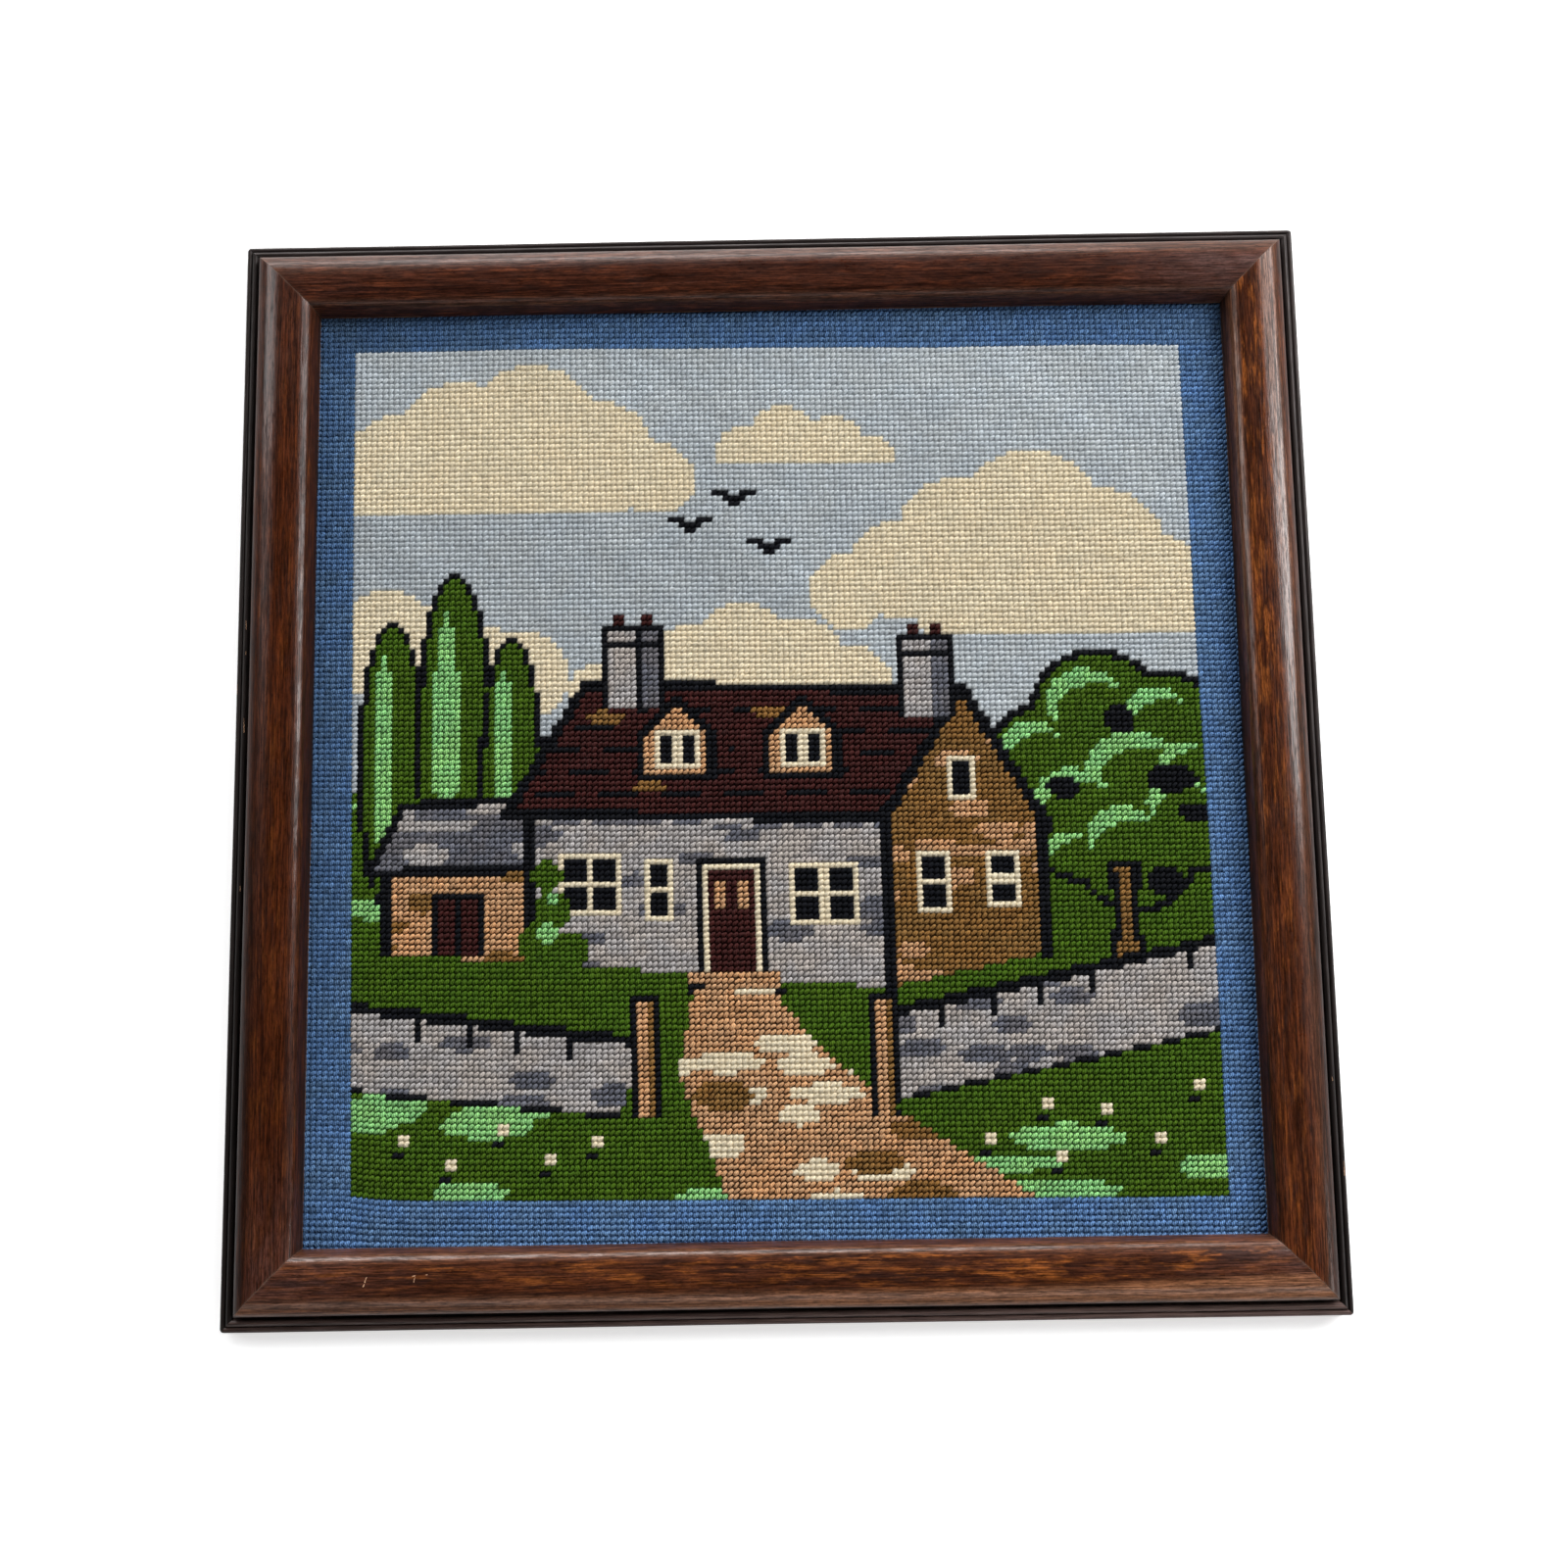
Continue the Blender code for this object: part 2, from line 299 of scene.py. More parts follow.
# ================================================================ the wood
def curve_run(rows):
    """Points of a soft curve through rows of numbers; the first two set spacing."""
    pts = [np.array([r[0], r[1], r[4], r[5]], float) for r in rows]
    if len(pts) == 2:
        count = rows[1][3]
        return [pts[0] + (pts[1] - pts[0]) * k / count for k in range(count + 1)]
    ends = [2 * pts[0] - pts[1]] + pts + [2 * pts[-1] - pts[-2]]
    out = [pts[0]]
    for n in range(1, len(ends) - 2):
        p0, p1, p2, p3 = ends[n - 1 : n + 3]
        d1, d2, d3 = (
            max(np.hypot(*(b - a)[:2]), 1e-6) ** 0.5 for a, b in ((p0, p1), (p1, p2), (p2, p3))
        )
        m1 = (p2 - p1) + d2 * ((p1 - p0) / d1 - (p2 - p0) / (d1 + d2))
        m2 = (p2 - p1) + d2 * ((p3 - p2) / d3 - (p3 - p1) / (d2 + d3))
        count = rows[n][3]
        for k in range(1, count + 1):
            t = k / count
            p = (
                (2 * t**3 - 3 * t**2 + 1) * p1
                + (t**3 - 2 * t**2 + t) * m1
                + (-2 * t**3 + 3 * t**2) * p2
                + (t**3 - t**2) * m2
            )
            p[2:] = p1[2:] + (p2 - p1)[2:] * t
            out.append(p)
    return out


def section():
    """The moulding's closed outline: inset, height, grime_and_shade, wear_and_glint in each row."""
    run, piece = [], []
    for row in MOULDING:
        piece.append(row)
        if row[2] == "sharp" and len(piece) > 1:
            run += curve_run(piece)[:-1]
            piece = [row]
    last, first = (np.array([r[0], r[1], r[4], r[5]], float) for r in (MOULDING[-1], MOULDING[0]))
    run += [last + (first - last) * k / BACK_CUTS for k in range(BACK_CUTS)]
    return np.array(run)


def rail_mesh(name, turns, seed):
    """One mitred length of moulding, along X with its outer wall at +Y, then turned."""
    rng = np.random.default_rng(seed)
    across = turns % 2 == 1
    length = FRAME_H if across else FRAME_W
    outer = (FRAME_W if across else FRAME_H) / 2
    outline = section()
    inset, height, grime_and_shade, wear_and_glint = outline.T
    near_end = np.array([0.0, 0.12, 0.30, 0.55, 0.85, 1.20, 1.60, 2.10, 2.90, 4.20])
    middle = np.linspace(-1, 1, round((length - 14) / RAIL_STEP) + 1) * (length / 2 - 7) / (length / 2)
    t = np.concatenate([near_end / (length / 2) - 1, middle, (1 - near_end / (length / 2))[::-1]])
    T, S = np.meshgrid(t, inset, indexing="ij")
    Z = np.broadcast_to(height, T.shape).copy()
    X = T * (length / 2 - S - JOINT_GAP * 0.7071)
    Y = outer - S
    # Hand planed and sanded lengths are never quite straight.
    free = (1 - T**2) ** 0.7
    phase = rng.uniform(0, 6.28, 4)
    Y = Y + free * (0.07 * np.sin(X / 61 + phase[0]) + 0.04 * np.sin(X / 23 + phase[1]))
    Z = Z + np.where(Z > 7, free * (0.06 * np.sin(X / 47 + phase[2]) + 0.03 * np.sin(X / 17 + phase[3])), 0)
    # Rubbed outer corners: square offsets of the wall become arcs.
    ex, ey = length / 2 - np.abs(X), outer - Y
    dx, dy = ex - CORNER_RADIUS, ey - CORNER_RADIUS
    inside = (dx < 0) & (dy < 0)
    flat = np.maximum(-dx, -dy)
    far = np.maximum(np.hypot(dx, dy), 1e-9)
    ex = np.where(inside, CORNER_RADIUS + dx / far * flat, ex)
    ey = np.where(inside, CORNER_RADIUS + dy / far * flat, ey)
    X2, Y2 = np.sign(X) * (length / 2 - ex), outer - ey
    near_joint = np.clip(1 - (length / 2 - S - np.abs(X)) / 1.1, 0, 1)

    stations, ring = T.shape
    verts = np.stack([X2, Y2, Z], -1).reshape(-1, 3)
    a = np.arange(stations - 1)[:, None] * ring + np.arange(ring)[None, :]
    b = np.arange(stations - 1)[:, None] * ring + (np.arange(ring)[None, :] + 1) % ring
    quads = np.stack([a, b, b + ring, a + ring], -1).reshape(-1, 4)
    caps = [np.arange(ring)[::-1], (stations - 1) * ring + np.arange(ring)]
    corners = np.concatenate([quads.ravel(), *caps])
    starts = np.concatenate([np.arange(len(quads)) * 4, [quads.size, quads.size + ring]])
    angle = turns * math.pi / 2
    cos, sin = round(math.cos(angle)), round(math.sin(angle))
    placed = verts @ np.array([[cos, sin, 0], [-sin, cos, 0], [0, 0, 1.0]])
    obj = mesh_object(name + "_moulding", placed, corners, starts)
    fix_facing(obj)
    obj.data.set_sharp_from_angle(angle=math.radians(33))

    point_values(obj, "grain", np.stack([X, S, Z], -1), "FLOAT_VECTOR")
    hidden = (S > 23.0) & (Z < 8.31) | (Z < 0.01)
    point_values(obj, "grime_and_shade", np.maximum(np.broadcast_to(grime_and_shade, T.shape), 0.12 * near_joint**3))
    point_values(obj, "joint", near_joint**2)
    point_values(obj, "wear_and_glint", np.broadcast_to(wear_and_glint, T.shape))
    point_values(obj, "bare", hidden.astype(float))
    # Bake layout: along the rail, and round the section.
    steps = np.hypot(*(np.roll(outline[:, :2], -1, axis=0) - outline[:, :2]).T)
    round_at = np.concatenate([[0], np.cumsum(steps)])
    round_at /= round_at[-1]
    loop_vert = np.empty(len(obj.data.loops), np.int32)
    obj.data.loops.foreach_get("vertex_index", loop_vert)
    station, place = loop_vert // ring, loop_vert % ring
    u = (verts[loop_vert, 0] / length + 0.5) * 0.97 + 0.015
    v = round_at[place]
    # The last strip closes the section, so its far corners take the value 1.
    total = np.empty(len(obj.data.polygons), np.int32)
    obj.data.polygons.foreach_get("loop_total", total)
    face_of = np.repeat(np.arange(len(total)), total)
    wraps = np.zeros(len(total), bool)
    np.logical_or.at(wraps, face_of, place == ring - 1)
    wraps &= total == 4
    v = np.where(wraps[face_of] & (place == 0), 1.0, v)
    cap = total[face_of] > 4
    u = np.where(cap, np.where(station == 0, 0.0, 1.0) + np.where(station == 0, 1, -1) * (0.001 + 0.012 * inset[place] / 29.1), u)
    v = np.where(cap, height[place] / 18.8 * 0.3 + 0.02, v * 0.998 + 0.001)
    uv_layer(obj, "OFBake", np.stack([u, v], -1))
    return obj


def fix_facing(obj):
    """Turns a closed mesh so that its faces point out."""
    mesh = obj.data
    mesh.calc_loop_triangles()
    tris = np.empty(len(mesh.loop_triangles) * 3, np.int32)
    mesh.loop_triangles.foreach_get("vertices", tris)
    co = np.empty(len(mesh.vertices) * 3, np.float32)
    mesh.vertices.foreach_get("co", co)
    p = co.reshape(-1, 3)[tris.reshape(-1, 3)].astype(float)
    if np.einsum("ij,ij->i", p[:, 0], np.cross(p[:, 1], p[:, 2])).sum() < 0:
        mesh.flip_normals()


# Wood of each rail (linear colours).  streaks and figure are how strong the warm
# patches and the grey ones are, inner keeps the warm ones on the half by the
# picture, wear_and_highlight_out and wear_and_light_in lighten the outer shoulder
# (from wear_and_light_at) and the inner slope, as wear and as a painted highlight
# and painted light, slope_dirt_and_shade is how far grime and painted shade
# darken the inner slope, rub_and_glint is how far the arrises are rubbed and
# lightened as a painted glint, dust_and_sheen the grey on the beads, dust and a
# painted sheen, and dust_and_sheen_ends how much of it.  outer_sheen is how
# polished the outer shoulder still is up to the insets of sheen_at, ridge_sheen
# the ridge by the picture and bead_sheen the beads; flank polishes the shoulder's
# outer half, tracks wears the polish of the shoulder away beside one line of it,
# gleam changes the polish from one place along the rail to another (-1 outside
# the ridge, 1 on it, 0 on both), shoulder darkens the outer shoulder as painted
# shade and painted_end_sheen lightens the ends as a painted sheen.
# Pairs run from one end of the rail to the other.
WOODS = {
    "rail_top": dict(
        turns=0, seed=11, dark=(0.024, 0.0062, 0.0030), light=(0.057, 0.0170, 0.0086), warm=(0.140, 0.036, 0.013),
        streaks=(0.55, 0.50), figure=0.45, inner=0, slope_dirt_and_shade=0.20, wear_and_highlight_out=(0.12, 0.22), wear_and_light_at=(6.0, 7.2),
        wear_and_light_in=(0.16, 0.20), rub_and_glint=1.0, dust_and_sheen=(0.031, 0.0240, 0.0230), dust_and_sheen_ends=(1.0, 1.0),
        shoulder=(1.0, 1.0), painted_end_sheen=(0.06, 0.46), gleam=((-190, -125, 0.64, 0.90, 0), (70, 168, 1.0, 0.26, 0)),
        outer_sheen=1.14, sheen_at=(8.4, 11.0), flank=1.0, tracks=10.25, ridge_sheen=(1.00, 1.05), bead_sheen=0.24, coat_rough=0.24,
    ),
    "rail_left": dict(
        turns=1, seed=23, dark=(0.024, 0.0054, 0.0017), light=(0.066, 0.0152, 0.0040), warm=(0.125, 0.034, 0.006),
        streaks=(0.45, 0.50), figure=0.35, inner=0, slope_dirt_and_shade=0.90, wear_and_highlight_out=(0.0, 0.0), wear_and_light_at=(6.0, 7.2),
        wear_and_light_in=(0.0, 0.0), rub_and_glint=0.3, dust_and_sheen=(0.013, 0.0098, 0.0090), dust_and_sheen_ends=(0.9, 1.4),
        shoulder=(0.38, 1.0), painted_end_sheen=(0.20, 0.10),
        gleam=((-60, 15, 1.0, 0.50, -1), (95, 165, 1.0, 7.0, -1), (-60, -5, 1.0, 1.6, 1), (60, 115, 1.0, 0.62, 1)),
        outer_sheen=0.0, sheen_at=(7.4, 9.6), flank=1.0, tracks=0, ridge_sheen=(1.35, 0.42), bead_sheen=0.05, coat_rough=0.19,
    ),
    "rail_bottom": dict(
        turns=2, seed=37, dark=(0.026, 0.0076, 0.0038), light=(0.082, 0.0235, 0.0088), warm=(0.205, 0.060, 0.013),
        streaks=(1.75, 0.62), figure=0.44, inner=1, slope_dirt_and_shade=0.20, wear_and_highlight_out=(1.30, 0.40), wear_and_light_at=(6.0, 7.2),
        wear_and_light_in=(0.46, 0.46), rub_and_glint=0.7, dust_and_sheen=(0.030, 0.0190, 0.0165), dust_and_sheen_ends=(3.7, 1.5),
        shoulder=(1.0, 1.0), painted_end_sheen=(0.26, 0.22), gleam=((-190, -110, 1.55, 1.0, 0),),
        outer_sheen=0.55, sheen_at=(8.4, 11.0), flank=1.0, tracks=0, ridge_sheen=(1.75, 1.95), bead_sheen=0.18, coat_rough=0.19,
    ),
    "rail_right": dict(
        turns=3, seed=53, dark=(0.028, 0.0076, 0.0030), light=(0.098, 0.0250, 0.0082), warm=(0.202, 0.057, 0.012),
        streaks=(1.75, 0.62), figure=0.64, inner=1, slope_dirt_and_shade=1.0, wear_and_highlight_out=(0.30, 0.20), wear_and_light_at=(8.2, 9.4),
        wear_and_light_in=(0.85, 0.0), rub_and_glint=0.5, dust_and_sheen=(0.026, 0.0200, 0.0192), dust_and_sheen_ends=(1.5, 0.5),
        shoulder=(1.0, 0.52), painted_end_sheen=(0.0, 0.0), gleam=((-180, -40, 0.46, 1.60, 0), (6, 54, 1.0, 0.38, 0)),
        outer_sheen=0.22, sheen_at=(7.4, 8.7), flank=1.6, tracks=0, ridge_sheen=(3.2, 1.3), bead_sheen=0.22, coat_rough=0.19,
    ),
}


def mahogany(
    name, seed, dark, light, warm, streaks, figure, inner, slope_dirt_and_shade, wear_and_highlight_out, wear_and_light_at, wear_and_light_in, rub_and_glint,
    dust_and_sheen, dust_and_sheen_ends, shoulder, painted_end_sheen, gleam, outer_sheen, sheen_at, flank, tracks, ridge_sheen, bead_sheen, coat_rough,
):
    s = Shader("stained_wood_" + name)
    rng = np.random.default_rng(seed)

    def shift():
        return tuple(float(v) for v in rng.uniform(-900, 900, 3))

    grain = s.attribute("grain", "Vector")
    # Grain lines run almost straight along the rail.
    drift = s.vec("SUBTRACT", s.noise(s.stretched(grain, (170, 50, 50), shift()), 1, out="Color"), (0.5, 0.5, 0.5))
    drift = s.vec("MULTIPLY", drift, (0.0, 1.8, 1.8))
    at = s.vec("ADD", grain, drift)
    broad = s.noise(s.stretched(at, (80, 4.2, 4.2), shift()), 3, 0.6)
    lines = s.noise(s.stretched(at, (30, 1.05, 1.05), shift()), 3, 0.62)
    fine = s.noise(s.stretched(at, (18, 0.52, 0.52), shift()), 2, 0.6)
    dashes = s.noise(s.stretched(at, (4.6, 0.52, 0.52), shift()), 2, 0.55)
    warmth = s.noise(s.stretched(at, (13, 2.5, 2.5), shift()), 4, 0.64)
    patches = s.noise(s.stretched(grain, (38, 9, 9), shift()), 2, 0.5)
    clouds = s.noise(s.stretched(grain, (8.0, 3.2, 3.2), shift()), 4, 0.62)
    speckle = s.noise(s.stretched(grain, (1.3, 0.6, 0.6), shift()), 2, 0.6)
    pores = s.noise(s.stretched(grain, (3.0, 0.34, 0.34), shift()), 1, 0.5)
    stains = s.noise(s.stretched(at, (15, 2.7, 2.7), shift()), 4, 0.62)

    tone = s.math("ADD", s.math("MULTIPLY", s.span(lines, 0.36, 0.64), 0.50), s.math("MULTIPLY", s.span(broad, 0.36, 0.64), 0.50))
    colour = s.mix(tone, dark, light)
    along, inset, height = s.split(grain)
    where = s.math("MULTIPLY", s.span(warmth, 0.46, 0.68), s.span(lines, 0.34, 0.56, 0.50, 1.0))
    where = s.math("MULTIPLY", where, s.span(patches, 0.36, 0.60, 0.25, 1.0))
    if inner:
        # The stain is thinnest on the fall towards the picture.
        where = s.math("MULTIPLY", where, s.span(inset, 10.0, 21.5, 0.15, 1.30), clamp=True)
        where = s.math("MULTIPLY", where, s.span(inset, 24.0, 26.0, 1.0, 0.3))
    where = s.math("MULTIPLY", where, s.span(along, -170.0, 190.0, *streaks), clamp=True)
    colour = s.mix(where, colour, warm)
    spots = s.math("MULTIPLY", s.span(stains, 0.50, 0.66), s.span(fine, 0.40, 0.58, 1.0, 0.55))
    colour = s.mix(s.math("MULTIPLY", spots, figure), colour, (0.027, 0.0145, 0.0120))
    # The outer shoulder is lightened, partly as wear and partly as a painted highlight.
    nearer = s.math("SUBTRACT", inset, s.span(along, -200.0, -70.0, 3.5, 0.0))
    shifted_tone = s.math("MULTIPLY", s.span(inset, *wear_and_light_at), s.span(nearer, 10.2, 14.0, 1.0, 0.0))
    shifted_tone = s.math("MULTIPLY", shifted_tone, s.span(lines, 0.36, 0.60, 0.45, 1.0))
    shifted_tone = s.math("MULTIPLY", shifted_tone, s.span(along, -170.0, 190.0, *wear_and_highlight_out))
    colour = s.mix(shifted_tone, colour, (0.275, 0.114, 0.052))
    # Painted shade darkens the outer shoulder towards one end of some rails.
    if shoulder != (1.0, 1.0):
        deep = s.math("SUBTRACT", 1.0, s.span(along, -120.0, 130.0, *shoulder))
        deep = s.math("MULTIPLY", deep, s.span(inset, 9.5, 13.5, 1.0, 0.0))
        colour = s.times(colour, s.math("SUBTRACT", 1.0, deep))
    # A painted sheen lightens the shoulder near the ends of the rails.
    end_sheen_mask = s.math("ADD", s.span(along, -195.0, -130.0, painted_end_sheen[0], 0.0), s.span(along, 115.0, 195.0, 0.0, painted_end_sheen[1]))
    end_sheen_mask = s.math("MULTIPLY", end_sheen_mask, s.span(clouds, 0.36, 0.60, 0.55, 1.2))
    colour = s.mix(s.math("MULTIPLY", end_sheen_mask, s.span(inset, 9.0, 14.0)), colour, (0.125, 0.066, 0.058))
    # The ridge and inner slope are lightened, partly as wear and partly as painted light.
    if max(wear_and_light_in):
        shifted_tone = s.math("MULTIPLY", s.span(inset, 24.0, 25.6), s.span(inset, 26.8, 28.6, 1.0, 0.35))
        shifted_tone = s.math("MULTIPLY", shifted_tone, s.span(lines, 0.36, 0.60, 0.30, 1.0))
        shifted_tone = s.math("MULTIPLY", shifted_tone, s.span(along, -170.0, 20.0, *wear_and_light_in))
        colour = s.mix(shifted_tone, colour, (0.200, 0.086, 0.046))
    colour = s.times(colour, s.span(fine, 0.38, 0.62, 0.60, 1.34))
    colour = s.times(colour, s.span(dashes, 0.34, 0.56, 0.60, 1.10))
    colour = s.times(colour, s.span(speckle, 0.3, 0.7, 0.84, 1.16, smooth=False))
    open_pores = s.span(pores, 0.60, 0.69)
    colour = s.times(colour, s.math("SUBTRACT", 1.0, s.math("MULTIPLY", open_pores, 0.50)))

    # A thin pale line where the two lengths meet, a painted glint.
    joint_glint = s.math("MULTIPLY", s.attribute("joint"), s.span(inset, 6.2, 7.0))
    joint_glint = s.math("MULTIPLY", joint_glint, s.span(clouds, 0.38, 0.56, 0.25, 1.0))
    colour = s.mix(s.math("MULTIPLY", joint_glint, 0.42), colour, (0.190, 0.118, 0.086))

    # Black stain and dirt stay in the quirks and outer beads; these, the inner slope and the sight edge are also
    # darkened as painted shade.
    dirt_and_shade = s.attribute("grime_and_shade")
    uneven = s.noise(s.stretched(grain, (11, 1.6, 1.6), shift()), 3, 0.6)
    dirt_and_shade = s.math("MULTIPLY", dirt_and_shade, s.span(uneven, 0.30, 0.62, 0.80, 1.06), clamp=True)
    # How dark the inner slope is painted as shade differs from rail to rail.
    if slope_dirt_and_shade != 1.0:
        dirt_and_shade = s.math("MULTIPLY", dirt_and_shade, s.span(inset, 24.0, 26.0, 1.0, slope_dirt_and_shade))
    colour = s.mix(s.span(dirt_and_shade, 0.0, 1.0, 0.0, 0.97, smooth=False), colour, (0.0075, 0.0062, 0.0058))
    # The beads take grey dust and a painted sheen, more on some rails and towards some ends.
    beads = s.math("MULTIPLY", s.span(inset, 5.9, 4.8), s.span(dirt_and_shade, 1.0, 0.84, 0.25, 1.0))
    grey = s.times(dust_and_sheen, s.math("MULTIPLY", s.span(fine, 0.36, 0.62, 0.65, 1.35), s.span(along, -190.0, 190.0, *dust_and_sheen_ends)))
    colour = s.mix(s.math("MULTIPLY", beads, 0.90), colour, grey)

    # Rubbed arrises and beads, in short stretches, lightened as wear and as a painted glint.
    rubbed_and_glint = s.math("MULTIPLY", s.attribute("wear_and_glint"), s.span(s.noise(s.stretched(grain, (15, 0.9, 0.9), shift()), 4, 0.7), 0.60, 0.72))
    colour = s.mix(s.math("MULTIPLY", rubbed_and_glint, 0.42 * rub_and_glint), colour, (0.140, 0.088, 0.062))
    # Small knocks that went through the stain.
    place = s.place()
    chips = None
    for rail, x0, y0, x1, y1, half in NICKS:
        if rail != name:
            continue
        jag = s.noise(s.stretched(s.vec("SCALE", place, 1000.0), (0.7, 0.7, 0.7), shift()), 2, out="Color")
        jag = s.vec("SCALE", s.vec("SUBTRACT", jag, (0.5, 0.5, 0.5)), 0.00045 + half * MM)
        px, py, _ = s.split(s.vec("ADD", place, jag))
        dx, dy = (x1 - x0) * MM, (y1 - y0) * MM
        ox, oy = s.math("SUBTRACT", px, x0 * MM), s.math("SUBTRACT", py, y0 * MM)
        dot = s.math("ADD", s.math("MULTIPLY", ox, dx), s.math("MULTIPLY", oy, dy))
        t = s.math("DIVIDE", dot, dx * dx + dy * dy, clamp=True)
        rx = s.math("SUBTRACT", ox, s.math("MULTIPLY", t, dx))
        ry = s.math("SUBTRACT", oy, s.math("MULTIPLY", t, dy))
        away = s.vec("LENGTH", s.join(rx, ry, 0.0))
        thin = s.span(t, 0.0, 1.0, half * 0.55 * MM, half * MM)
        one = s.math("SUBTRACT", 1.0, s.math("DIVIDE", away, thin), clamp=True)
        one = s.span(one, 0.0, 0.35)
        chips = one if chips is None else s.math("MAXIMUM", chips, one)
    if chips is not None:
        colour = s.mix(chips, colour, (0.600, 0.345, 0.205))

    # The back and the rebate were never stained, only smeared over at the edge.
    bare = s.attribute("bare")
    smear = s.span(s.noise(s.stretched(grain, (22, 4.0, 4.0), shift()), 4, 0.6), 0.42, 0.62)
    edge = s.math("MAXIMUM", s.span(inset, 2.2, 0.2), s.span(inset, 20.5, 23.0))
    pale = s.mix(s.span(lines, 0.3, 0.7), (0.200, 0.098, 0.052), (0.330, 0.180, 0.100))
    pale = s.times(pale, s.math("SUBTRACT", 1.0, s.math("MULTIPLY", open_pores, 0.45)))
    pale = s.times(pale, s.span(fine, 0.36, 0.62, 0.84, 1.08))
    pale = s.mix(s.math("MULTIPLY", smear, s.span(edge, 0.0, 1.0, 0.10, 0.75)), pale, (0.050, 0.020, 0.011))
    colour = s.mix(bare, colour, pale)

    rough = s.span(s.noise(s.stretched(grain, (9, 5, 5), shift()), 3), 0.3, 0.7, 0.27, 0.36)
    rough = s.math("ADD", rough, s.math("MULTIPLY", s.math("MAXIMUM", dirt_and_shade, bare), 0.22), clamp=True)
    if chips is not None:
        rough = s.math("ADD", rough, s.math("MULTIPLY", chips, 0.4), clamp=True)
    relief = s.math("ADD", s.math("MULTIPLY", lines, 0.55), s.math("MULTIPLY", fine, 0.35))
    if chips is not None:
        relief = s.math("SUBTRACT", relief, s.math("MULTIPLY", chips, 1.6))
    # The finish has sunk into the open grain, which cuts the shine into lines.
    polish = s.math("MULTIPLY", s.span(dirt_and_shade, 0.1, 0.7, 0.46, 0.0), s.span(inset, *sheen_at, outer_sheen, 1.0))
    if tracks:
        line = s.span(s.math("ABSOLUTE", s.math("SUBTRACT", inset, tracks)), 0.2, 0.8, 1.06, 0.56)
        polish = s.math("MULTIPLY", polish, s.math("MAXIMUM", line, s.span(inset, tracks - 1.5, tracks - 0.8, 1.0, 0.56)))
    ridge = s.math("MULTIPLY", s.span(inset, 23.6, 25.4), s.math("SUBTRACT", s.span(along, -190.0, 190.0, *ridge_sheen), 1.0))
    polish = s.math("MULTIPLY", polish, s.math("ADD", ridge, 1.0))
    polish = s.math("MULTIPLY", polish, s.span(s.math("MULTIPLY", s.span(inset, 23.6, 24.6), s.span(clouds, 0.62, 0.40)), 0.0, 1.0, 1.0, 0.42))
    if flank != 1.0:
        polish = s.math("MULTIPLY", polish, s.span(inset, 10.6, 12.6, flank, 1.0))
    for lo, hi, first, last, side in gleam:
        change = s.span(along, lo, hi, first, last)
        if side:
            there = s.span(inset, 20.0, 23.5) if side > 0 else s.span(inset, 20.0, 23.5, 1.0, 0.0)
            change = s.math("ADD", s.math("MULTIPLY", s.math("SUBTRACT", change, 1.0), there), 1.0)
        polish = s.math("MULTIPLY", polish, change)
    polish = s.math("ADD", polish, s.math("MULTIPLY", beads, bead_sheen))
    polish = s.math("MULTIPLY", polish, s.span(fine, 0.36, 0.60, 0.48, 1.28))
    polish = s.math("MULTIPLY", polish, s.span(dashes, 0.34, 0.54, 0.36, 1.14))
    polish = s.math("MULTIPLY", polish, s.math("SUBTRACT", 1.0, s.math("MULTIPLY", s.math("MAXIMUM", open_pores, bare), 0.6)), clamp=True)
    s.put(
        Base_Color=colour,
        Roughness=rough,
        Coat_Weight=polish,
        Coat_Roughness=coat_rough,
        Coat_IOR=1.48,
        IOR=1.48,
        Normal=s.bump(relief, 0.15, 0.9),
        Coat_Normal=s.bump(relief, 0.10, 0.9),
    )
    s.bsdf.inputs["Specular IOR Level"].default_value = 0.12
    return s.mat


# ================================================================ the weave
def held_flat(x, y):
    edge = np.minimum(SHEET_HALF_W - np.abs(x), SHEET_HALF_H - np.abs(y))
    h = np.clip((edge - FLAT_BORDER) / (4 * FLAT_BORDER), 0, 1)
    return h * h * (3 - 2 * h)


def swell(x, y):
    u, v = x / SHEET_HALF_W, y / SHEET_HALF_H
    z = 0
    for amp, cx, cy, px, py in SWELLS:
        z = z + amp * np.sin(math.pi * cx * u + px) * np.sin(math.pi * cy * v + py)
    return z * held_flat(x, y)


